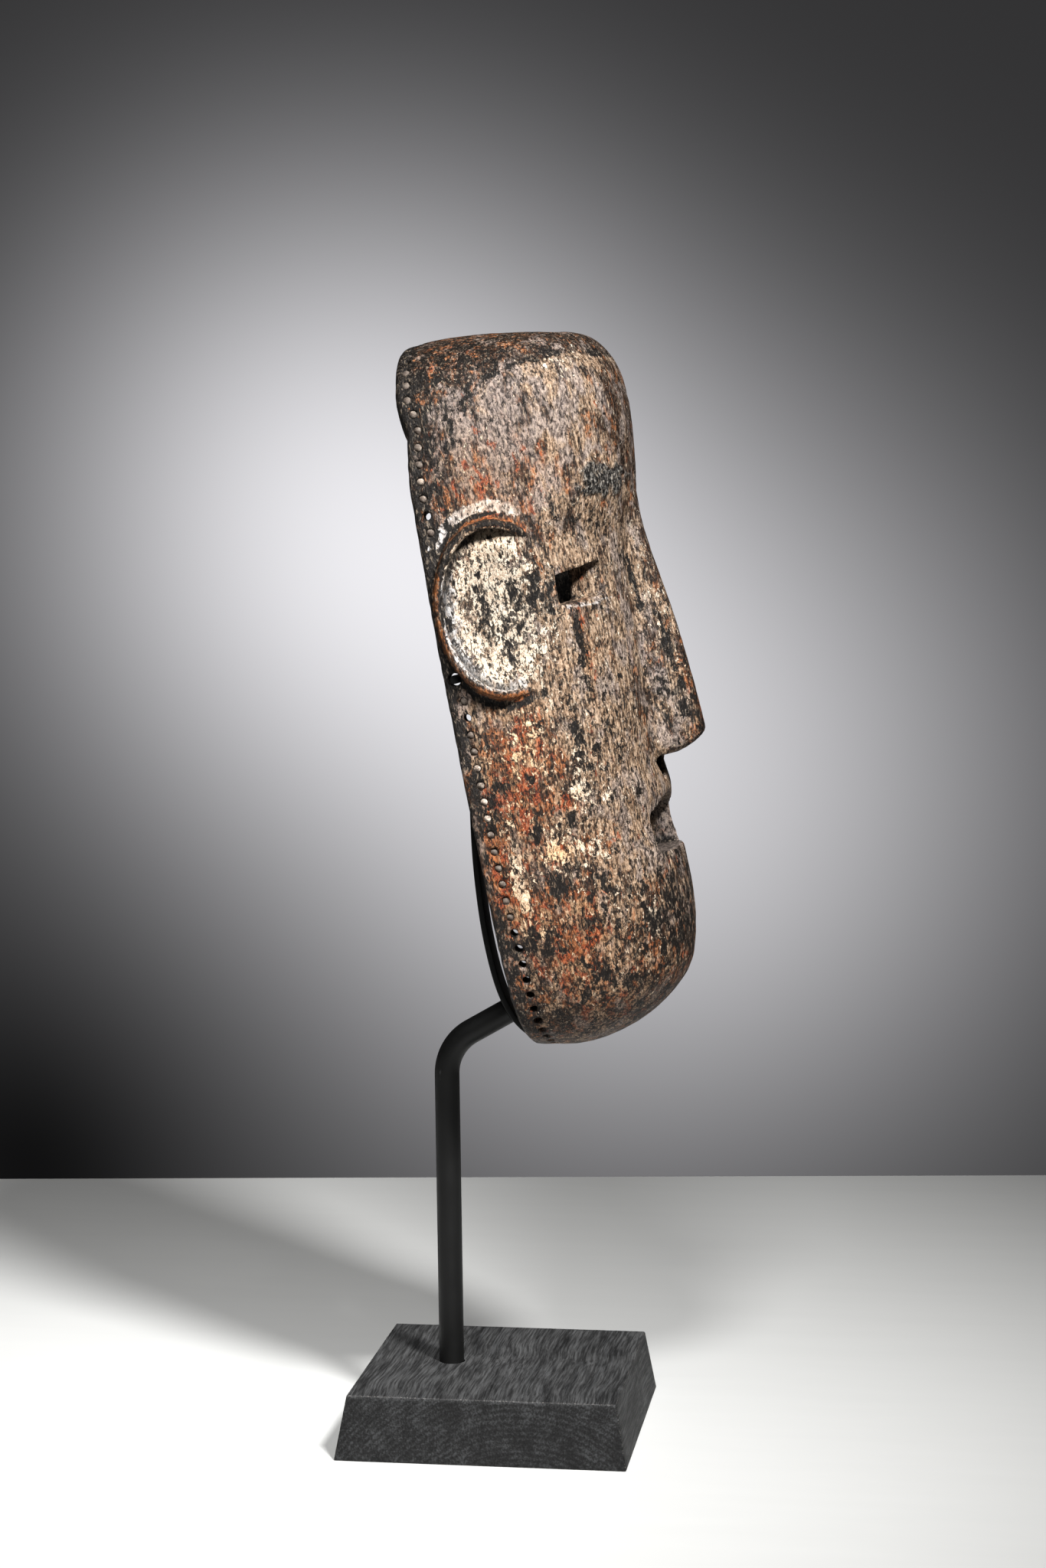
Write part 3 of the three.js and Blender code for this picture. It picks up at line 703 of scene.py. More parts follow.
def row_tree():
    """Small turned shapes in an even row along a path, each along its own bore, but none at the ears."""
    tree, given, result = geometry_tree("RowOfHoles", [
        ("Count", "Int", 100), ("Diameter", "Float", 3.4), ("Length", "Float", 34.0), ("Sink", "Float", 0.0),
        ("Sides", "Int", 14), ("Loops", "Int", 20), ("Ear Low", "Float", 10.0), ("Ear High", "Float", 86.0),
        ("Lowest", "Float", -400.0), ("Share", "Float", 1.0), ("Seed", "Int", 4),
        ("Material", "Material", None),
    ])

    def compare(a, operation, b):
        return first(tree, "FunctionNodeCompare", {0: a, 1: b}, operation=operation)

    def join(a, operation, b):
        return first(tree, "FunctionNodeBooleanMath", {0: a, 1: b}, operation=operation)

    path = first(tree, "GeometryNodeMeshToCurve", {"Mesh": given["Geometry"]})
    spots = first(tree, "GeometryNodeCurveToPoints", {"Curve": path, "Count": given["Count"]}, mode="COUNT")
    height = node(tree, "ShaderNodeSeparateXYZ", {0: first(tree, "GeometryNodeInputPosition")}).outputs[2]
    odds = node(tree, "FunctionNodeRandomValue", {2: 0.0, 3: 1.0, "Seed": given["Seed"]}, data_type="FLOAT")
    above = compare(height, "GREATER_THAN", given["Ear Low"])
    below = compare(height, "LESS_THAN", given["Ear High"])
    low = compare(height, "LESS_THAN", given["Lowest"])
    skipped = compare(odds.outputs[1], "GREATER_THAN", given["Share"])
    out = join(join(join(above, "AND", below), "OR", low), "OR", skipped)
    spots = first(tree, "GeometryNodeDeleteGeometry", {"Geometry": spots, "Selection": out}, domain="POINT")
    bore = first(tree, "GeometryNodeInputNamedAttribute", {"Name": "bore"}, data_type="FLOAT_VECTOR")
    turn = first(tree, "FunctionNodeAlignRotationToVector", {"Vector": bore}, axis="Z")
    sink = scaled(tree, given["Sink"], -1.0)
    shift = first(tree, "ShaderNodeVectorMath", {0: bore, "Scale": sink}, operation="SCALE")
    spots = first(tree, "GeometryNodeSetPosition", {"Geometry": spots, "Offset": shift})
    pin = first(tree, "GeometryNodeMeshCylinder", {
        "Vertices": given["Sides"], "Side Segments": given["Loops"],
        "Radius": scaled(tree, given["Diameter"], 0.5), "Depth": given["Length"],
    })
    row = first(tree, "GeometryNodeInstanceOnPoints", {"Points": spots, "Instance": pin, "Rotation": turn})
    return end_tree(tree, given, result, row)


def swept_tree():
    """A bar with a round-cornered section swept along a path; a round bar has corners of half its width."""
    tree, given, result = geometry_tree("SweptBar", [
        ("Width", "Float", 0.01), ("Thickness", "Float", 0.01), ("Corner", "Float", 0.001),
        ("Corner Steps", "Int", 4), ("Across", "Vector", (1.0, 0.0, 0.0)), ("Material", "Material", None),
    ])
    path = first(tree, "GeometryNodeMeshToCurve", {"Mesh": given["Geometry"]})
    path = first(tree, "GeometryNodeSetCurveNormal", {"Curve": path, "Normal": given["Across"]}, mode="FREE")
    section = first(tree, "GeometryNodeCurvePrimitiveQuadrilateral", {
        "Width": given["Width"], "Height": given["Thickness"],
    })
    section = first(tree, "GeometryNodeFilletCurve", {
        "Curve": section, "Count": given["Corner Steps"], "Radius": given["Corner"],
    }, mode="POLY")
    bar = first(tree, "GeometryNodeCurveToMesh", {"Curve": path, "Profile Curve": section, "Fill Caps": True})
    return end_tree(tree, given, result, bar)


# Materials
def material(name):
    """A material with one shader: itself, its tree, the shader's inputs and the place on the object."""
    made = bpy.data.materials.new(name)
    made.use_nodes = True
    tree = made.node_tree
    tree.nodes.clear()
    shader = tree.nodes.new("ShaderNodeBsdfPrincipled")
    output = tree.nodes.new("ShaderNodeOutputMaterial")
    tree.links.new(shader.outputs[0], output.inputs["Surface"])
    return made, tree, shader.inputs, node(tree, "ShaderNodeTexCoord").outputs["Object"]


def grey(level):
    return level, level, level


def math_node(tree, operation, a, b=0.0, clamp=False):
    return first(tree, "ShaderNodeMath", {0: a, 1: b}, operation=operation, use_clamp=clamp)


def blend(tree, way, a, b):
    """A colour that goes from a to b."""
    a, b = (c if isinstance(c, bpy.types.NodeSocket) or len(c) == 4 else (*c, 1.0) for c in (a, b))
    return node(tree, "ShaderNodeMix", {0: way, 6: a, 7: b}, data_type="RGBA").outputs[2]


def noise(tree, vector, size, detail=6.0, roughness=0.6, distortion=0.0):
    """Noise from 0 to 1, whose lumps are size across."""
    return node(tree, "ShaderNodeTexNoise", {
        "Vector": vector, "Scale": 1 / size, "Detail": detail, "Roughness": roughness,
        "Distortion": distortion,
    }).outputs["Fac"]


def ramp(tree, value, stops):
    """Colours at places from 0 to 1."""
    made = node(tree, "ShaderNodeValToRGB", {0: value})
    elements = made.color_ramp.elements
    for k, (place, color) in enumerate(stops):
        element = elements[k] if k < 2 else elements.new(place)
        element.position = place
        element.color = (*color, 1.0)
    return made.outputs[0]


def stretched(tree, vector, scale=(1.0, 1.0, 1.0), shift=(0.0, 0.0, 0.0)):
    return first(tree, "ShaderNodeMapping", {"Vector": vector, "Location": shift, "Scale": scale})


def attribute(tree, name):
    return node(tree, "ShaderNodeAttribute", attribute_name=name).outputs["Fac"]


def flakes(tree, value, amount, level, edge=0.02):
    """A ragged patch: 1 where noise plus amount passes a level."""
    total = math_node(tree, "ADD", value, amount)
    return first(tree, "ShaderNodeMapRange", {
        "Value": total, "From Min": level - edge, "From Max": level + edge,
    }, interpolation_type="SMOOTHSTEP")


def contrast(tree, value, low, high):
    """0 at a low value and 1 at a high one."""
    return first(tree, "ShaderNodeMapRange", {"Value": value, "From Min": low, "From Max": high})


def scaled(tree, value, factor):
    return math_node(tree, "MULTIPLY", value, factor)


def bumped(tree, height, depth):
    """A surface normal from a height from 0 to 1, whose full step is depth millimetres."""
    return first(tree, "ShaderNodeBump", {"Height": height, "Distance": depth * MM, "Strength": 1.0})


def patina_material(tones):
    """Layers of grain, grey film, red stain, tan and cream flakes and black crust, worn at the edges, with
    painted shade, shadows, glints and a highlight over them.
    """
    made, tree, shader, place = material("weathered_patina")
    carving = first(tree, "ShaderNodeMapping", {
        "Vector": place, "Location": tuple(mask_placement().translation), "Rotation": (-LEAN, 0.0, YAW),
        "Scale": (MM, MM, MM),
    }, vector_type="TEXTURE")
    along = stretched(tree, carving, (1.0, 1.0, 0.62))
    fibres = stretched(tree, carving, (1.0, 1.0, 0.12))

    grain = noise(tree, fibres, 1.1, 6.0, 0.65)
    fine = noise(tree, carving, 0.6, 3.0, 0.7)
    mottle = noise(tree, carving, 3.2, 7.0, 0.65, 0.4)
    speck = noise(tree, along, 1.3, 6.0, 0.68, 0.5)
    tint = math_node(tree, "ADD", scaled(tree, grain, 0.5), scaled(tree, speck, 0.5))
    pale, dark, rust, ground = (attribute(tree, name) for name in ("pale", "dark", "rust", "tan"))

    def patches(size, amount, level, edge, roughness, shift):
        moved = stretched(tree, along, shift=grey(shift))
        return flakes(tree, noise(tree, moved, size, 8.0, roughness, 0.4), amount, level, edge)

    def lay(way, strength, stops, value=tint):
        return blend(tree, scaled(tree, way, strength), color, ramp(tree, value, stops))

    # Bare wood, dark, with rubbed places
    color = ramp(tree, tint, [
        (0.43, (0.006, 0.004, 0.003)), (0.50, (0.028, 0.016, 0.010)), (0.57, (0.085, 0.045, 0.026)),
    ])
    rubbed = patches(6.5, scaled(tree, rust, 0.75), level=0.57, edge=0.02, roughness=0.6, shift=0.0)
    color = lay(rubbed, 0.92, [
        (0.43, (0.040, 0.016, 0.008)), (0.50, tuple(tones.wood)), (0.57, (0.34, 0.165, 0.08)),
    ])

    # Tan ground, thin over the grain
    thin = patches(9.0, ground, level=0.565, edge=0.04, roughness=0.64, shift=7.0)
    color = lay(thin, 0.92, [
        (0.42, (0.035, 0.023, 0.016)), (0.47, (0.15, 0.098, 0.062)), (0.51, (0.25, 0.175, 0.118)),
        (0.58, (0.42, 0.32, 0.235)),
    ])

    # Grey film
    film = patches(9.0, attribute(tree, "grey"), level=0.58, edge=0.07, roughness=0.62, shift=19.0)
    color = lay(film, 0.8, [(0.38, (0.06, 0.045, 0.040)), (0.60, tuple(tones.film))], speck)

    # Red stain
    red = patches(5.5, rust, level=0.67, edge=0.02, roughness=0.64, shift=31.0)
    color = lay(red, 0.85, [(0.42, (0.09, 0.022, 0.012)), (0.58, tuple(tones.rust))], speck)

    # Cream flakes with dark rims painted round them as their shadow, and their crumbs
    broad_noise = noise(tree, along, 6.0, 8.0, 0.62, 0.6)
    broad = flakes(tree, broad_noise, scaled(tree, pale, 1.3), 0.68, 0.010)
    shadow_rims = flakes(tree, broad_noise, scaled(tree, pale, 1.3), 0.655, 0.012)
    crumbs = patches(1.9, scaled(tree, pale, 0.9), level=0.63, edge=0.015, roughness=0.64, shift=43.0)
    color = blend(tree, scaled(tree, shadow_rims, 0.75), color, (0.018, 0.012, 0.009))
    cream_tint = math_node(tree, "ADD", scaled(tree, mottle, 0.5), scaled(tree, fine, 0.5))
    flake = math_node(tree, "MAXIMUM", broad, scaled(tree, crumbs, 0.9))
    color = lay(flake, 1.0, [
        (0.38, (0.20, 0.13, 0.08)), (0.48, tuple(tones.pale)), (0.60, (0.75, 0.68, 0.57)),
    ], cream_tint)

    # Chalk, rubbed in round the ears
    chalk = flakes(tree, noise(tree, along, 2.6, 6.0, 0.66), attribute(tree, "chalk"), 0.80, 0.12)
    color = lay(chalk, 0.8, [(0.35, (0.20, 0.18, 0.17)), (0.62, (0.68, 0.67, 0.66))], mottle)

    # Black crust, and black pits
    crust = patches(5.0, scaled(tree, dark, 1.2), level=0.64, edge=0.010, roughness=0.64, shift=57.0)
    gaps = math_node(tree, "ADD", scaled(tree, dark, 0.55), scaled(tree, pale, 0.18))
    pits = patches(1.6, gaps, level=0.60, edge=0.015, roughness=0.62, shift=71.0)
    black = math_node(tree, "MAXIMUM", crust, scaled(tree, pits, 0.9))
    color = lay(black, 1.0, [(0.35, (0.004, 0.003, 0.003)), (0.75, tuple(tones.crust))], fine)

    # Resin on the brow: black lumps with pale specks painted in as glints, a painted highlight
    resin = attribute(tree, "resin")
    color = lay(resin, 1.0, [
        (0.44, grey(0.006)), (0.52, (0.045, 0.042, 0.04)), (0.60, (0.30, 0.28, 0.25)),
    ], speck)

    # Edges worn to bare wood, and grime with painted shade in the nooks, the hollow and the ears' dishes
    worn = flakes(tree, scaled(tree, speck, 0.6), attribute(tree, "worn"), 0.72, 0.10)
    color = lay(worn, 0.88, [(0.40, (0.055, 0.022, 0.010)), (0.58, tuple(tones.worn))])
    grime = flakes(tree, scaled(tree, mottle, 0.5), attribute(tree, "grime"), 0.62, 0.25)
    color = blend(tree, scaled(tree, grime, 0.95), color, (0.004, 0.0035, 0.003))

    # Dark and pale grit over all of it
    grit = noise(tree, stretched(tree, carving, (1.0, 1.0, 0.36)), 1.1, 3.0, 0.6, 0.6)
    color = blend(tree, scaled(tree, contrast(tree, grit, 0.46, 0.37), 0.84), color, (0.010, 0.007, 0.005))
    color = blend(tree, scaled(tree, contrast(tree, grit, 0.56, 0.66), 0.34), color, tuple(tones.pale))

    # Warmer where the wood is red, then deeper in the darks
    warm = node(tree, "ShaderNodeMix", {
        0: math_node(tree, "MULTIPLY", rust, 5.0, clamp=True), 6: color, 7: (1.0, 0.80, 0.61, 1.0),
    }, data_type="RGBA", blend_type="MULTIPLY").outputs[2]
    deeper = first(tree, "ShaderNodeGamma", {"Color": warm, "Gamma": 1.17})
    color = first(tree, "ShaderNodeVectorMath", {0: deeper, "Scale": 1.27}, operation="SCALE")

    # Gloss and relief
    gloss = ramp(tree, mottle, [(0.3, grey(0.42)), (0.7, grey(0.60))])
    for way, amount, level in ((flake, 1.0, 0.72), (film, 0.5, 0.36), (worn, 1.0, 0.33), (resin, 1.0, 0.28)):
        gloss = blend(tree, scaled(tree, way, amount), gloss, grey(level))
    height = scaled(tree, pits, -0.25)
    for layer, share in (
        (flake, 0.32), (thin, 0.08), (grain, 0.20), (fine, 0.2), (speck, 0.4), (mottle, 0.35), (crust, 0.12),
        (grit, 0.6), (math_node(tree, "MULTIPLY", resin, speck), 1.2),
    ):
        height = math_node(tree, "ADD", height, scaled(tree, layer, share))
    feed(tree, shader, {
        "Base Color": color, "Roughness": gloss, "Normal": bumped(tree, height, 1.15),
        "Specular IOR Level": 0.2,
    })
    return made


def paste_material():
    """Pale paste in the holes, with dark specks."""
    made, tree, shader, place = material("hole_paste")
    cloud = noise(tree, place, 2.2 * MM, 6.0, 0.7)
    fine = noise(tree, place, 0.5 * MM, 3.0, 0.6)
    color = ramp(tree, cloud, [
        (0.36, (0.05, 0.035, 0.028)), (0.48, (0.30, 0.23, 0.18)), (0.62, (0.62, 0.54, 0.45)),
    ])
    dull = flakes(tree, noise(tree, place, 13 * MM, 2.0, 0.5), 0.0, 0.47, 0.05)
    color = blend(tree, scaled(tree, dull, 0.8), color, (0.05, 0.034, 0.026))
    color = blend(tree, flakes(tree, fine, 0.0, 0.62), color, (0.03, 0.022, 0.018))
    height = math_node(tree, "ADD", cloud, scaled(tree, fine, 0.4))
    feed(tree, shader, {"Base Color": color, "Roughness": 0.8, "Normal": bumped(tree, height, 0.3)})
    return made


def stained_wood_material(tones):
    """Black-stained board: open grain along X, streaks of painted light on its top, and edges rubbed bare."""
    made, tree, shader, place = material("black_stained_wood")
    drift = node(tree, "ShaderNodeTexNoise", {"Vector": place, "Scale": 14.0}).outputs["Color"]
    bent = node(tree, "ShaderNodeMix", {0: 0.008, 4: place, 5: drift}, data_type="VECTOR").outputs[1]
    pores = noise(tree, stretched(tree, bent, (0.045, 1.0, 1.0)), 0.9 * MM, 5.0, 0.6)
    rings = noise(tree, stretched(tree, bent, (0.03, 1.0, 1.0)), 7 * MM, 4.0, 0.6, 0.2)
    top_light_streaks = noise(tree, stretched(tree, bent, (0.14, 1.0, 1.0)), 6 * MM, 6.0, 0.65)
    growth = node(tree, "ShaderNodeTexWave", {
        "Vector": stretched(tree, bent, shift=(0.0, 0.015, 0.055)), "Scale": 120.0, "Distortion": 1.6,
        "Detail": 3.0, "Detail Scale": 1.4,
    }, wave_type="RINGS", rings_direction="X").outputs["Fac"]
    tint = math_node(tree, "ADD", scaled(tree, pores, 0.57), scaled(tree, rings, 0.35))
    tint = math_node(tree, "ADD", tint, scaled(tree, growth, 0.06))
    color = ramp(tree, tint, [(0.40, grey(0.004)), (0.50, tuple(tones.stain)), (0.62, (0.035, 0.036, 0.037))])
    # The top is lightened in streaks: painted light from above
    painted_top_light = math_node(tree, "MULTIPLY", flakes(tree, top_light_streaks, 0.0, 0.46, 0.16), attribute(tree, "top"))
    top_light_tone = ramp(tree, pores, [(0.4, grey(0.03)), (0.6, grey(0.11))])
    color = blend(tree, scaled(tree, painted_top_light, 0.6), color, top_light_tone)
    fine = noise(tree, place, 0.8 * MM, 4.0, 0.7)
    rubbed = flakes(tree, scaled(tree, fine, 0.7), attribute(tree, "edge"), 1.40, 0.03)
    color = blend(tree, scaled(tree, rubbed, 0.6), color, (0.22, 0.20, 0.18))
    gloss = ramp(tree, pores, [(0.3, grey(0.72)), (0.7, grey(0.5))])
    feed(tree, shader, {
        "Base Color": color, "Roughness": gloss, "Normal": bumped(tree, tint, 0.35),
        "Specular IOR Level": 0.2,
    })
    return made


def steel_material(tones):
    """Satin black finish on steel, a little uneven, with a few rubbed places."""
    made, tree, shader, place = material("satin_black_steel")
    grit = noise(tree, place, 0.6 * MM, 4.0, 0.6)
    cloud = noise(tree, place, 18 * MM, 5.0, 0.6)
    color = blend(tree, cloud, tuple(c * 0.6 for c in tones.steel), tuple(tones.steel))
    scratches = noise(tree, stretched(tree, place, (1.0, 1.0, 0.3)), 3 * MM, 6.0, 0.7)
    scuff = flakes(tree, scratches, 0.0, 0.70, 0.05)
    color = blend(tree, scaled(tree, scuff, 0.5), color, (0.09, 0.09, 0.092))
    gloss = ramp(tree, cloud, [(0.3, grey(0.38)), (0.7, grey(0.52))])
    feed(tree, shader, {
        "Base Color": color, "Roughness": gloss, "Normal": bumped(tree, grit, 0.05),
        "Specular IOR Level": 0.22,
    })
    return made


def floor_material(tones):
    """Pale painted board with a faint grain."""
    made, tree, shader, place = material("pale_floor")
    cloud = noise(tree, stretched(tree, place, (1.0, 0.15, 1.0)), 0.02, 6.0, 0.6)
    color = blend(tree, cloud, tuple(c * 0.94 for c in tones.floor), tuple(tones.floor))
    feed(tree, shader, {"Base Color": color, "Roughness": 0.6, "Normal": bumped(tree, cloud, 0.1)})
    return made


# Soft spots on the mask's side, by layer of the patina, with painted shade and a painted highlight among
# them: depth, height, half sizes, lean and strength
SPOTS = {
    "tan": [
        (44, -100, 26, 14, 0, 0.03), (84, -40, 8, 14, 0, 0.06), (62, -12, 20, 48, 4, 0.15),
        (94, 8, 10, 48, 10, 0.05), (50, -125, 30, 20, 0, 0.035), (70, 72, 14, 22, 0, 0.10),
        (64, -58, 13, 18, 0, 0.12), (27, 44, 15, 32, 0, 0.10), (74, 124, 15, 26, 0, 0.06),
        # (100, 0) and (90, 105) darken the nose's ridge and the brow's front edge: painted shade where they
        # turn from the light, over darker brown wood
        (100, 0, 4, 60, 8, -0.14), (90, 105, 4, 50, 0, -0.08), (50, 16, 10, 22, 0, 0.10),
        # (70, 154) lightens the forehead's top corner: a painted highlight
        (82, 45, 6, 34, 8, 0.08), (70, 154, 14, 9, 0, 0.12), (27, 2, 14, 6, 0, 0.12),
        (26, 84, 20, 12, 8, 0.08), (56, -90, 10, 8, 0, 0.07),
    ],
    "pale": [
        (54, 120, 30, 34, 0, -0.035), (28, 48, 11, 26, 0, 0.15), (36, 20, 13, 13, 10, 0.02),
        (58, -2, 14, 40, 4, 0.02), (36, -66, 10, 12, 0, 0.14), (13, -78, 4, 20, 4, 0.19),
        (49, -40, 4, 9, 4, 0.13), (50, -24, 4, 10, 0, 0.10), (66, -105, 2.4, 9, 0, 0.16),
        (24, 122, 8, 12, 0, 0.04), (26, 84, 18, 10, 8, 0.08), (90, 30, 9, 40, 10, 0.05),
        # (68, 154) lightens the forehead's top corner: a painted highlight
        (68, 154, 10, 6, 0, 0.10), (30, -18, 12, 14, 0, 0.09), (54, -92, 10, 8, 0, 0.06),
        (20, -100, 8, 10, 0, 0.07), (40, 2, 10, 10, 0, 0.03), (60, -120, 24, 20, 0, 0.03),
        (20, -46, 14, 22, 0, 0.05), (57, -46, 3, 7, 0, 0.10), (27, 3, 12, 5, 0, 0.05),
        (76, -68, 6, 6, 0, 0.08), (45, -41, 3, 4, 0, 0.14), (50, -66, 4, 6, 0, 0.12),
    ],
    "dark": [
        (106, 0, 3, 40, 8, 0.08), (54, 120, 32, 34, 0, -0.035), (45, 53, 8, 12, 4, 0.16),
        (58.5, 26, 1.6, 22, 0, 0.17), (20, 52, 2.4, 18, 0, 0.14), (33, 44, 4, 9, 0, 0.12),
        (28, 28, 2.4, 12, 0, 0.11), (100, -12, 4, 34, 8, 0.13), (101, -30, 6, 8, 0, 0.16),
        (62, -18, 16, 30, 0, 0.05), (86, -10, 8, 28, 6, 0.06), (80, 52, 1.6, 14, 8, 0.20),
        (90.5, 18, 1.4, 26, 8, 0.17), (92, -12, 2, 7, 0, 0.16), (50, -15, 2, 24, 4, 0.13),
        (32, -80, 8, 8, 0, 0.13), (34, -62, 36, 46, 0, 0.02), (44, -96, 8, 8, 0, 0.06),
        (50, -80, 3, 4, 0, 0.09), (41, -52, 3, 6, 0, 0.12), (26, -50, 2.5, 10, 0, 0.10),
        (12, -106, 14, 7, 0, 0.14), (74, -98, 9, 30, 0, 0.11), (62, 88, 16, 8, -30, 0.09),
        # (40, -148) darkens the chin's underside: painted shade over its darker wood
        (14, 160, 34, 12, 8, 0.07), (40, -148, 44, 12, 0, 0.04), (6, 100, 7, 40, 0, 0.12),
        (8, -30, 6, 22, 4, 0.12), (46, -128, 24, 10, 0, 0.08), (60, -106, 12, 10, 0, 0.07),
        (27, 40, 12, 26, 0, 0.025),
    ],
    "rust": [
        (30, 104, 18, 18, 0, 0.04), (52, 106, 16, 12, 0, 0.05), (20, -34, 16, 28, 4, 0.14),
        (33, -66, 7, 5, 0, 0.16), (5, -76, 5, 30, 4, 0.15), (18, -96, 10, 16, 0, 0.11),
        (42, -106, 6, 6, 0, 0.12), (30, -118, 14, 18, 0, 0.08), (60.5, 28, 2.2, 24, 0, 0.12),
        (41, -45, 4, 4, 0, 0.14), (40, -92, 6, 6, 0, 0.12), (42, -140, 34, 20, 0, 0.05),
        (100, -28, 6, 9, 0, 0.12), (24, 100, 12, 22, 0, 0.10), (24, 166, 30, 9, 0, 0.06),
        (40, 128, 26, 20, 0, 0.02), (30, -80, 40, 70, 0, 0.055), (30, -10, 10, 16, 0, 0.10),
        (100, -14, 3, 30, 8, 0.14), (62, -120, 24, 20, 0, 0.04), (40, 90, 12, 8, 0, 0.08),
    ],
    "grey": [
        (40, 128, 24, 22, 0, 0.19), (56, 112, 36, 40, 0, 0.025), (28, 40, 16, 34, 0, 0.07),
        (72, 140, 14, 20, 0, 0.08), (84, -10, 12, 60, 10, 0.05), (74, -64, 12, 24, 0, 0.10),
        (22, 138, 12, 14, 0, 0.06), (12, -108, 12, 10, 0, 0.07), (50, -112, 8, 8, 0, 0.06),
        (74, -66, 8, 9, 0, 0.10),
    ],
}

# How strongly each mark of the weather, or of painted shade, adds to a layer, or takes from it
LAYERS = {
    "tan": {"outside": 0.03, "rim_band": -0.08, "inside": -0.4, "lip": -0.3, "above_line": -0.13},
    "pale": {
        "far_side": 1.0, "rim_band": -0.10, "inside": -0.4, "above_line": -0.01, "dish": 0.11, "lip": -0.4,
        "crease_shade": -0.25,
    },
    "dark": {
        "line": 0.12, "low_rim_shade": 0.05, "crust": 0.10, "above_line": 0.06, "crease_shade": 0.30, "rim_band": 0.05,
        "chin": 0.02, "lip": 0.06, "rim_edge": 0.10, "eave_shade": 0.18,
    },
    "rust": {"lip": 0.03, "inside": -0.3},
    "grey": {"rim_band": 0.03, "inside": 0.16},
    "resin": {"resin": 1.0},
    "chalk": {"halo": 0.47, "inner_band": 0.31, "in_ear": 0.08, "sill": 0.34},
    "worn": {"humps": 1.0, "lip": 0.40, "eave_shade": -0.36, "crown": 0.18},
    # Grime with painted shade: darker in the nooks, the hollow and the ears' dishes
    "grime": {"nooks": 1.0, "inside": 0.34, "in_ear": 0.17},
}

# Crust on one brow: place, half sizes, its soft edge, the x that it ends at, and how far it stands out
BROW_CRUST = {
    "depth": 78, "z": 98, "half_depth": 10, "half_height": 8.5, "edge": 0.72, "far_x": -62, "lift": 1.5,
    "level": 0.65,
}

# How the form is read: rounds of blur and strength of humps and nooks, the most that either gives, and the
# middle of the hollow, which the inside faces, with its rough radius
FORM = {"hump_blur": 3, "hump": 1.6, "nook_blur": 24, "nook": 0.26, "most": 0.5, "middle": 60, "radius": 100}

# Lines on the mask's side, as depth and height: under the eye, and where the dark crown starts
EYE_SILL = [(55.8, 43.6), (64.9, 43.3), (72.7, 44)]
FOREHEAD_LINE = [(17, 122), (22.6, 137), (31, 146), (41, 152.5), (58, 157), (74, 158.7), (88, 156)]


def spot_field(points, spots):
    """The sum of the spots at the points."""
    total = np.zeros(len(points))
    for depth, z, half_depth, half_height, lean, strength in spots:
        turn = math.radians(lean)
        along, up = -points[:, 1] - depth, points[:, 2] - z
        a = (along * math.cos(turn) + up * math.sin(turn)) / half_depth
        b = (up * math.cos(turn) - along * math.sin(turn)) / half_height
        total += strength * np.exp(-(a * a + b * b))
    return total


def distance_to_path(points, path):
    """Distance of (depth, height) points from a path."""
    best = np.full(len(points), 1e9)
    for start, end in zip(np.asarray(path[:-1], float), np.asarray(path[1:], float)):
        run = end - start
        way = np.clip(((points - start) @ run) / (run @ run), 0, 1)
        best = np.minimum(best, np.linalg.norm(points - start - way[:, None] * run, axis=1))
    return best


def brow_crust_lift(points):
    """Where a low lumpy crust stands on one brow, from 0 to 1."""
    depth, z = -points[:, 1] - BROW_CRUST["depth"], points[:, 2] - BROW_CRUST["z"]
    away = np.hypot(depth / BROW_CRUST["half_depth"], z / BROW_CRUST["half_height"])
    away += uneven(points, "crust_edge") + uneven(points, "crust_crumbs")
    near = (points[:, 0] < 0) & (points[:, 0] > BROW_CRUST["far_x"])
    return fade(BROW_CRUST["edge"], 1.0, away) * near


def form_marks(mesh, points):
    """Marks that follow the form: the hollow's inside, the outside, humps and nooks; the nooks and the inside
    take painted shade.
    """
    normals = normals_of(mesh)
    links = Neighbours(mesh)
    humps = links.blurred(((points - links.mean(points)) * normals).sum(1), FORM["hump_blur"])
    nooks = ((links.blurred(points, FORM["nook_blur"]) - points) * normals).sum(1)
    inward = (normals * (np.array([0, FORM["middle"], 0]) - points) / FORM["radius"]).sum(1)
    inside = smooth(0.2, 0.6, inward)
    return {
        "inside": inside,
        "outside": 1 - inside,
        "humps": np.clip(humps * FORM["hump"], 0, FORM["most"]) * (1 - inside),
        "nooks": np.clip(nooks * FORM["nook"], 0, FORM["most"]),
    }


def place_marks(points, outside):
    """Marks at a place: along the rim, with painted shade at its edge, the forehead's line and the eye's
    sill, on the chin, with painted shade under it, and the brow.
    """
    depth, z = -points[:, 1], points[:, 2]
    side = np.stack([depth, z], -1)
    off_line = distance_to_path(side, FOREHEAD_LINE) + uneven(points, "line")
    off_sill = distance_to_path(side, EYE_SILL) + uneven(points, "sill")
    rim_band = fade(-1, 10, depth) * outside
    crust = brow_crust_lift(points)
    return {
        "line": fade(0.8, 2.2, off_line),
        "above_line": smooth(-3, 3, z - np.interp(depth, *zip(*FOREHEAD_LINE))),
        "sill": fade(0.5, 1.4, off_sill) * outside,
        "rim_band": rim_band,
        # Painted shade along the edge of the rim, above the chin
        "rim_edge": fade(-1, 7, depth) * smooth(-50, -20, z) * outside,
        # Painted shade along the lower part of the rim band
        "low_rim_shade": rim_band * fade(-60, -20, z),
        # Darker towards the bottom of the chin: painted shade on its underside over wood that is darker there
        "chin": fade(-130, -70, z),
        "crust": crust,
        # The resin on the brow, with pale specks painted in as glints
        "resin": smooth(0.1, 0.9, crust),
        "far_side": smooth(-5, 30, points[:, 0]) * uneven(points, "far_side"),
    }


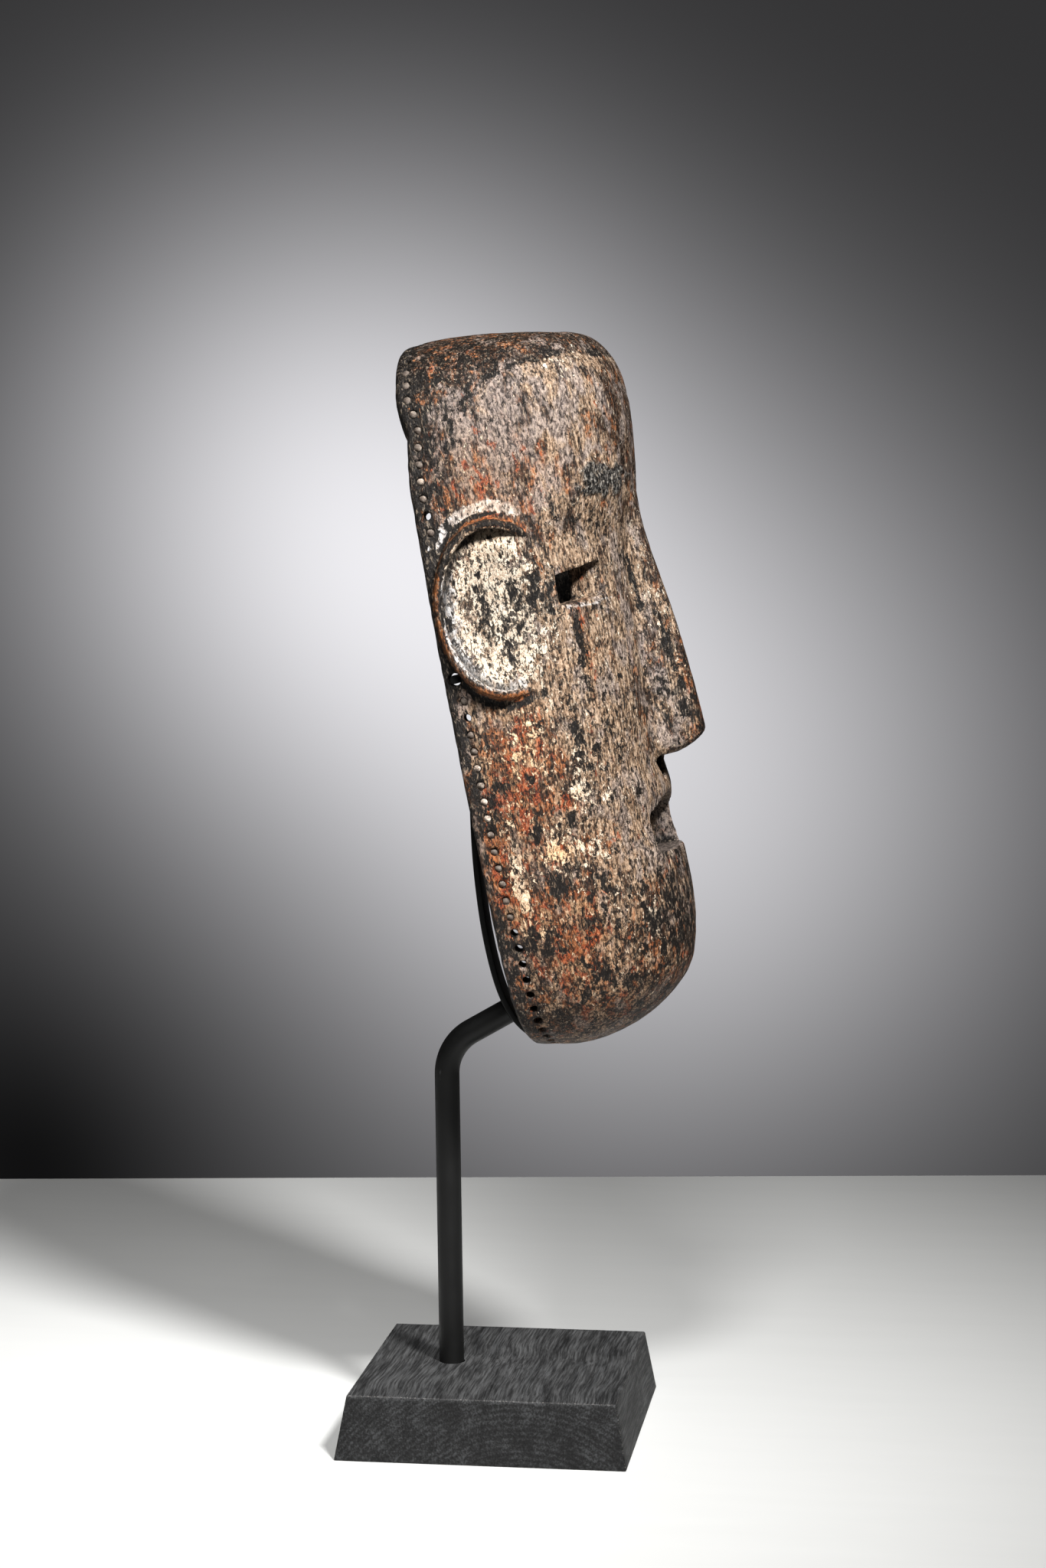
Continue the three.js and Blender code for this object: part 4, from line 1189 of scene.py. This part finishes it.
def ear_marks(points):
    """Marks round the ears: the lip, its crown and the painted shade under its eave, the painted shade in the
    crease and the chalk beside it, and the dish.

    Their soft limits are in millimetres from the lip or the ear's middle, and in degrees round it.
    """
    depth, z = -points[:, 1] - EAR["forward"], points[:, 2] - EAR["z"]
    along, up = depth / EAR["half_depth"], z / EAR["half_height"]
    from_middle = np.hypot(along, up)
    reach = np.hypot(depth, z) / np.maximum(from_middle, 0.1)
    off_lip = (from_middle - 1) * reach + uneven(points, "round_ear")
    at_side = smooth(50, 62, np.abs(points[:, 0]))
    round_lip = band((42, 56), (278, 290), np.degrees(np.arctan2(up, along)) % 360) * at_side
    lip = fade(2.0, 3.2, np.abs(off_lip)) * round_lip
    crease_end = np.where(z < 0, 6.6, 4.6)
    in_ear = fade(0.86, 0.98, from_middle) * at_side
    crown = fade(0.4, 1.9, np.abs(off_lip + 0.3)) * round_lip
    return {
        "lip": lip,
        "crown": crown * smooth(-0.7, 0.3, uneven(points, "crown")),
        # Painted shade on the inside of the lip's upper part, where it overhangs the dish
        "eave_shade": lip * smooth(14, 30, z) * fade(-0.2, 0.9, off_lip),
        # Painted shade in the crease just outside the lip
        "crease_shade": band((1.8, 2.6), (3.2, crease_end), off_lip) * fade(2, 16, depth) * round_lip,
        "halo": band((3.0, 3.8), (8, 11), off_lip) * smooth(4, 24, z) * fade(8, 24, depth) * round_lip,
        "inner_band": band((-12, -5), (-3.4, -2.2), off_lip) * fade(12, 26, z) * round_lip,
        "in_ear": in_ear,
        "dish": in_ear * (1 - 0.6 * smooth(2, 22, depth)),
    }


def weather(mesh):
    """Stores how strongly each layer of the patina, painted shade and glints included, shows at each point.
    """
    points = points_of(mesh)
    marks = form_marks(mesh, points)
    marks |= place_marks(points, marks["outside"])
    marks |= ear_marks(points)
    marks["humps"] *= 1 - marks["lip"]
    for layer, weights in LAYERS.items():
        values = spot_field(points, SPOTS.get(layer, []))
        for mark, weight in weights.items():
            values += weight * marks[mark]
        store(mesh, layer, values)


def build_mask(sizes, tones):
    """The carved shell with its openings, wear and patina, and the paste in its holes."""
    body = face_body(sizes.pitch)
    shell = BVHTree.FromPolygons(np.asarray(body[0]).tolist(), body[1])
    mask = mesh_object("carved_mask", body)
    for side in (-1, 1):
        carve(mask, mesh_object("dish", ear_dish_body(side), True))
        carve(mask, mesh_object("lip", ear_lip_body(side), True), "UNION")
    carve(mask, mesh_object("cavity", cavity_body(), True))
    for side in (-1, 1):
        carve(mask, front_cut("eye", [(x * side, z) for x, z in EYE]))
    carve(mask, front_cut("mouth", mouth_corners()))
    carve(mask, front_cut("philtrum", PHILTRUM))
    carve(mask, mesh_object("bar_hole", bar_hole_body(), True))
    drill = row_tree()
    routes = []
    for side in (-1, 1):
        route, count = hole_route(side, shell)
        routes.append((linked(route.name, route.data.copy()), count))
        carve(mask, grow(route, drill, count=count, diameter=sizes.hole, **EAR_GAP, **DRILL))
    collapse_short(mask.data, SHORTEST)
    soften(mask.data, sizes.softening)
    paint(mask, patina_material(tones))
    weather(mask.data)
    mask.data.transform(mask_placement())
    points = points_of(mask.data)
    points[:, 1] *= (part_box("mask")[0].y + NOSE_BACK * MM) / points[:, 1].min()
    set_points(mask.data, points)
    mask.data.shade_smooth()
    return mask, build_paste(routes, drill, sizes)


def soften(mesh, rounds):
    """Rounds the cut edges and lifts the crust on the brow."""
    points = points_of(mesh)
    links = Neighbours(mesh)
    weight = np.clip(links.blurred(sharpness(mesh), WEAR["spread"]) * WEAR["gain"], 0, 1)[:, None]
    for _ in range(rounds):
        points = points + weight * WEAR["pull"] * (links.mean(points) - points)
    set_points(mesh, points)
    crust = brow_crust_lift(points) * BROW_CRUST["lift"] * (BROW_CRUST["level"] + uneven(points, "crust_top"))
    lift = crust - WEAR["off"] - uneven(points, "rubbed_off")
    set_points(mesh, points + normals_of(mesh) * lift[:, None])


def build_paste(routes, drill, sizes):
    """Paste left in most of the upper holes."""
    paste = paste_material()
    diameter = sizes.hole * PASTE_FIT
    for seed, (route, count) in enumerate(routes, PASTE_SEED):
        grow(
            route, drill, count=count, diameter=diameter, share=sizes.paste, seed=seed, material=paste,
            **EAR_GAP, **PASTE,
        )
    parts = [route for route, _ in routes]
    with bpy.context.temp_override(active_object=parts[0], selected_editable_objects=parts):
        bpy.ops.object.join()
    plugs = parts[0]
    plugs.name = "hole_paste"
    points = points_of(plugs.data)
    set_points(plugs.data, points + uneven(points, "paste")[:, None])
    plugs.data.transform(mask_placement())
    paint(plugs, paste)
    plugs.data.shade_smooth()
    return plugs


# Stand
def rod_path():
    """Up from the socket, round the bend and forward to the strip."""
    foot = Vector((0, 0, ROD["foot"]))
    elbow = Vector((0, ROD["elbow_back"], ROD["elbow_height"]))
    rise = math.radians(ROD["rise"])
    arm = Vector((0, -math.cos(rise), math.sin(rise)))
    upright = (elbow - foot).normalized()
    turn = upright.angle(arm)
    start = elbow - upright * ROD["bend"] * math.tan(turn / 2)
    inward = (arm - upright * arm.dot(upright)).normalized()
    centre = start + inward * ROD["bend"]
    points = [foot.lerp(start, k / ROD["lower_steps"]) for k in range(ROD["lower_steps"])]
    for k in range(ROD["bend_steps"] + 1):
        angle = turn * k / ROD["bend_steps"]
        points.append(centre + (upright * math.sin(angle) - inward * math.cos(angle)) * ROD["bend"])
    points.append(elbow + arm * ROD["arm"])
    pose = stand_pose()
    return [tuple((pose @ point) * MM) for point in points]


def on_mask(points):
    """Points of the mask's own millimetres, in metres."""
    placement = mask_placement()
    return [tuple(placement @ Vector(point)) for point in points]


def strip_path():
    places = np.linspace(0, 1, SAMPLES["strip"])
    return on_mask(curve_through([(0, -depth, z) for depth, z in STRIP["route"]], places))


def bar_path():
    places = np.linspace(-CROSS_BAR["half_length"], CROSS_BAR["half_length"], CROSS_BAR["places"])
    return on_mask([(x, -CROSS_BAR["forward"], CROSS_BAR["height"]) for x in places])


def ease_edges(thing, width, segments):
    """A small round on the sharp edges, kept in the mesh."""
    bevel = thing.modifiers.new("ease", "BEVEL")
    bevel.width = width * MM
    bevel.segments = segments
    bevel.limit_method = "ANGLE"
    bevel.angle_limit = SHARP_FROM
    keep_modifiers(thing)
    thing.data.shade_smooth()
    return thing


def build_base(sizes, tones):
    """A board whose sides slope out to the foot, with a blind socket for the rod."""
    width, depth, height = (size / MM for size in (sizes.base_width, sizes.base_depth, sizes.base_height))
    shape = bmesh.new()
    bmesh.ops.create_cube(shape, size=1)
    for vert in shape.verts:
        spread = 2 * BASE["flare"] * (vert.co.z < 0)
        vert.co.x *= width + spread
        vert.co.y *= depth + spread
        vert.co.z = height * (vert.co.z > 0)
    slices = np.linspace(-BASE["sliced"], BASE["sliced"], BASE["slices"])
    planes = [((k * width, 0, 0), (1, 0, 0)) for k in slices]
    planes += [((0, k * depth, 0), (0, 1, 0)) for k in slices]
    planes += [((0, 0, level), (0, 0, 1)) for level in BASE["levels"]]
    for place, normal in planes:
        faces = shape.faces[:] + shape.edges[:] + shape.verts[:]
        bmesh.ops.bisect_plane(shape, geom=faces, plane_co=place, plane_no=normal)
    mesh = bpy.data.meshes.new("wood_base")
    shape.to_mesh(mesh)
    shape.free()
    base = linked("wood_base", mesh)
    mesh.transform(Matrix.Scale(MM, 4))
    ease_edges(base, BASE["round"], 3)

    turn = full_turn(BASE["socket_sides"])
    radius = ROD["diameter"] / 2 + BASE["play"]
    rings = np.empty((4, len(turn), 3))
    rings[..., 0] = np.cos(turn) * radius
    rings[..., 1] = STAND_BACK + np.sin(turn) * radius
    rings[..., 2] = np.linspace(height - BASE["socket"], height + 10, 4)[:, None]
    carve(base, mesh_object("socket", tube(rings * MM), True))

    x, y, z = points_of(base.data).T / MM
    spread = BASE["flare"] * (1 - z / height)
    gaps = np.stack([width / 2 + spread - np.abs(x), depth / 2 + spread - np.abs(y), height - z, z])
    off_edge = np.sort(gaps, axis=0)[1]
    store(base.data, "edge", fade(0.3, 1.4, off_edge))
    # The top, which the stain lightens there as painted light
    store(base.data, "top", smooth(height - 1, height - 0.4, z))
    paint(base, stained_wood_material(tones))
    base.data.shade_smooth()
    base.data.set_sharp_from_angle(angle=BASE["flat_from"])
    return base


def build_mount(sizes, tones):
    """The rod, the bowed strip and the cross bar, swept along their paths."""
    sweep = swept_tree()
    steel = steel_material(tones)
    strip_size = (STRIP["width"] * MM, STRIP["thickness"] * MM)
    sideways, upward = (1.0, 0.0, 0.0), (0.0, 0.0, 1.0)
    made = {}
    for name, path, (width, thickness), corner, steps, across in (
        ("steel_rod", rod_path(), (sizes.rod, sizes.rod), sizes.rod / 2, 7, sideways),
        ("steel_strip", strip_path(), strip_size, STRIP["corner"] * MM, 3, sideways),
        ("steel_cross_bar", bar_path(), (sizes.cross_bar, sizes.cross_bar), sizes.cross_bar / 2, 4, upward),
    ):
        bar = grow(
            path_object(name, path), sweep, width=width, thickness=thickness, corner=corner,
            corner_steps=steps, across=across, material=steel,
        )
        collapse_short(bar.data, STEEL_SHORTEST * MM)
        paint(bar, steel)
        made[name] = ease_edges(bar, STEEL_ROUND, 2)
    return made


# Stage
def build_stage(light, tones):
    floor = mesh_object("floor", ([(-1, -1, 0), (1, -1, 0), (1, 1, 0), (-1, 1, 0)], [[0, 1, 2, 3]]))
    size = Matrix.Diagonal((FLOOR["half_depth"] * FLOOR["wide"], FLOOR["half_depth"], 1, 1))
    floor.data.transform(Matrix.Rotation(CAMERA["azimuth"], 4, "Z") @ size)
    paint(floor, floor_material(tones))
    for name, (place, size, aim) in LAMPS.items():
        lamp = bpy.data.lights.new(name + "_softbox", "AREA")
        lamp.shape = "DISK"
        lamp.size = size
        lamp.energy = getattr(light, name)
        lamp.spread = LAMP_SPREAD
        made = linked(lamp.name, lamp)
        made.location = place
        made.rotation_euler = (Vector(aim) - Vector(place)).to_track_quat("-Z", "Y").to_euler()
    build_backdrop(light)
    build_camera()


def camera_axes():
    """The camera's right, up and back."""
    turn, rise, roll = CAMERA["azimuth"], CAMERA["elevation"], CAMERA["roll"]
    back = Vector((math.sin(turn) * math.cos(rise), -math.cos(turn) * math.cos(rise), math.sin(rise)))
    right = Vector((math.cos(turn), math.sin(turn), 0))
    up = back.cross(right)
    return right * math.cos(roll) + up * math.sin(roll), up * math.cos(roll) - right * math.sin(roll), back


def build_backdrop(light):
    """Soft grey surroundings, with pools of light behind the mask."""
    world = bpy.data.worlds.new("grey_surroundings")
    world.use_nodes = True
    tree = world.node_tree
    background = next(n for n in tree.nodes if n.type == "BACKGROUND")
    view = node(tree, "ShaderNodeTexCoord").outputs["Generated"]
    right, up, back = camera_axes()
    level = light.surround
    for strength, aside, above, spread in POOLS:
        ahead = tuple((right * aside + up * above - back).normalized())
        facing = node(tree, "ShaderNodeVectorMath", {0: view, 1: ahead}, operation="DOT_PRODUCT")
        away = math_node(tree, "SUBTRACT", facing.outputs["Value"], 1.0)
        fall = math_node(tree, "EXPONENT", math_node(tree, "DIVIDE", away, (spread * light.spread) ** 2))
        pool = scaled(tree, fall, strength * light.pool)
        level = math_node(tree, "ADD", pool, level)
    feed(tree, background.inputs, {"Color": blend(tree, level, grey(0.0), SURROUNDINGS)})
    bpy.context.scene.world = world


def build_camera():
    camera = bpy.data.cameras.new("camera")
    camera.lens = CAMERA["lens"]
    camera.sensor_width = CAMERA["sensor"]
    camera.sensor_fit = "AUTO"
    made = linked("camera", camera)
    made.matrix_world = Matrix.Translation(CAMERA["place"]) @ Matrix(camera_axes()).transposed().to_4x4()
    bpy.context.scene.camera = made
    bpy.context.scene.view_settings.view_transform = "Standard"


# Sizes and colours that a user may change
def amount(name, description, default, low, **settings):
    return bpy.props.FloatProperty(name=name, description=description, default=default, min=low, **settings)


def length(name, description, default):
    return amount(name, description, default, 0, unit="LENGTH", precision=4)


def tone(name, description, default):
    return bpy.props.FloatVectorProperty(
        name=name, description=description, default=default, subtype="COLOR", size=3, min=0, max=1)


base_low, base_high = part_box("base")
BASE_SIZE = base_high - base_low
FOOT_SPREAD = 2 * BASE["flare"] * MM


class MaskSizes(bpy.types.PropertyGroup):
    pitch: amount("Mesh pitch", "Distance between the shell's points, in millimetres", 1.42, 0.8)
    hole: amount("Rim hole", "Diameter of the holes along the rim, in millimetres", HOLES["diameter"], 1)
    paste: amount("Paste", "Share of the upper rim holes that are filled", 0.85, 0, max=1, subtype="FACTOR")
    softening: bpy.props.IntProperty(
        name="Softening", description="Rounds of wear on the cut edges", default=5, min=0, max=40)


class StandSizes(bpy.types.PropertyGroup):
    base_width: length("Base width", "Width of the base's top across the mask", BASE_SIZE.x - FOOT_SPREAD)
    base_depth: length("Base depth", "Depth of the base's top", BASE_SIZE.y - FOOT_SPREAD)
    base_height: length("Base height", "Height of the base", BASE_SIZE.z)
    rod: length("Rod", "Diameter of the rod", ROD["diameter"] * MM)
    cross_bar: length("Cross bar", "Diameter of the bar across the hollow", CROSS_BAR["diameter"] * MM)


class Tones(bpy.types.PropertyGroup):
    wood: tone("Wood", "Middle tone of the bare wood", (0.16, 0.066, 0.028))
    film: tone("Film", "Light tone of the grey film", (0.33, 0.275, 0.245))
    rust: tone("Red stain", "Light tone of the red stain", (0.31, 0.098, 0.042))
    pale: tone("Pale flakes", "Middle tone of the pale flakes", (0.50, 0.41, 0.32))
    crust: tone("Crust", "Light tone of the black crust", (0.026, 0.021, 0.017))
    worn: tone("Worn edge", "Tone of wood rubbed bare", (0.36, 0.155, 0.06))
    stain: tone("Black stain", "Middle tone of the base", (0.0105, 0.0105, 0.0106))
    steel: tone("Black steel", "Tone of the finish on the steel", (0.006, 0.006, 0.0058))
    floor: tone("Floor", "Tone of the floor", (0.64, 0.64, 0.625))


class StageLight(bpy.types.PropertyGroup):
    key: amount("Key", "Power of the key light", 4.4, 0, unit="POWER")
    fill: amount("Fill", "Power of the fill light", 1.95, 0, unit="POWER")
    surround: amount("Surroundings", "Grey of the surroundings", 0.0327, 0, max=1)
    pool: amount("Pool", "Strength of the light behind the mask", 1, 0)
    spread: amount("Spread", "Spread of the light behind the mask", 1, 0.1)


# Operators
class MASK_OT_carve(bpy.types.Operator):
    """Carve the mask, fill its holes with paste and give it its patina"""
    bl_idname = "mask.carve"
    bl_label = "Carve mask"

    def execute(self, context):
        scene = context.scene
        mask, paste = build_mask(scene.mask_sizes, scene.mask_tones)
        for piece in (mask, paste):
            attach(piece, "root")
        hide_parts("mask")
        return {"FINISHED"}


class MASK_OT_base(bpy.types.Operator):
    """Build the wooden base"""
    bl_idname = "mask.base"
    bl_label = "Build base"

    def execute(self, context):
        base = build_base(context.scene.mask_stand, context.scene.mask_tones)
        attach(base, "root")
        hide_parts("base")
        return {"FINISHED"}


class MASK_OT_mount(bpy.types.Operator):
    """Build the steel rod, strip and cross bar"""
    bl_idname = "mask.mount"
    bl_label = "Build steel mount"

    def execute(self, context):
        bars = build_mount(context.scene.mask_stand, context.scene.mask_tones)
        solids = {"steel_rod": "rod", "steel_strip": "back_strip", "steel_cross_bar": "cross_bar"}
        for name, solid in solids.items():
            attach(bars[name], "root")
            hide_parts(solid)
        return {"FINISHED"}


class MASK_OT_stage(bpy.types.Operator):
    """Set the floor, the lights, the surroundings and the camera"""
    bl_idname = "mask.stage"
    bl_label = "Set stage"

    def execute(self, context):
        build_stage(context.scene.mask_light, context.scene.mask_tones)
        return {"FINISHED"}


class MASK_PT_panel(bpy.types.Panel):
    """Lists the sizes, colours and steps"""
    bl_idname = "MASK_PT_panel"
    bl_label = "Carved mask"
    bl_space_type = "VIEW_3D"
    bl_region_type = "UI"
    bl_category = "Mask"

    def draw(self, context):
        layout = self.layout
        for name, group in GROUPS.items():
            box = layout.box()
            box.label(text=group.__name__)
            for prop in group.__annotations__:
                box.prop(getattr(context.scene, name), prop)
        for operator in OPERATORS:
            layout.operator(operator.bl_idname)


GROUPS = {"mask_sizes": MaskSizes, "mask_stand": StandSizes, "mask_tones": Tones, "mask_light": StageLight}
OPERATORS = (MASK_OT_carve, MASK_OT_base, MASK_OT_mount, MASK_OT_stage)


def register():
    for name, group in GROUPS.items():
        bpy.utils.register_class(group)
        setattr(bpy.types.Scene, name, bpy.props.PointerProperty(type=group))
    for item in (*OPERATORS, MASK_PT_panel):
        bpy.utils.register_class(item)


def unregister():
    for item in (MASK_PT_panel, *reversed(OPERATORS)):
        bpy.utils.unregister_class(item)
    for name, group in reversed(GROUPS.items()):
        delattr(bpy.types.Scene, name)
        bpy.utils.unregister_class(group)


def main():
    register()
    bpy.ops.mask.carve()
    bpy.ops.mask.base()
    bpy.ops.mask.mount()
    bpy.ops.mask.stage()


if __name__ == "__main__":
    main()
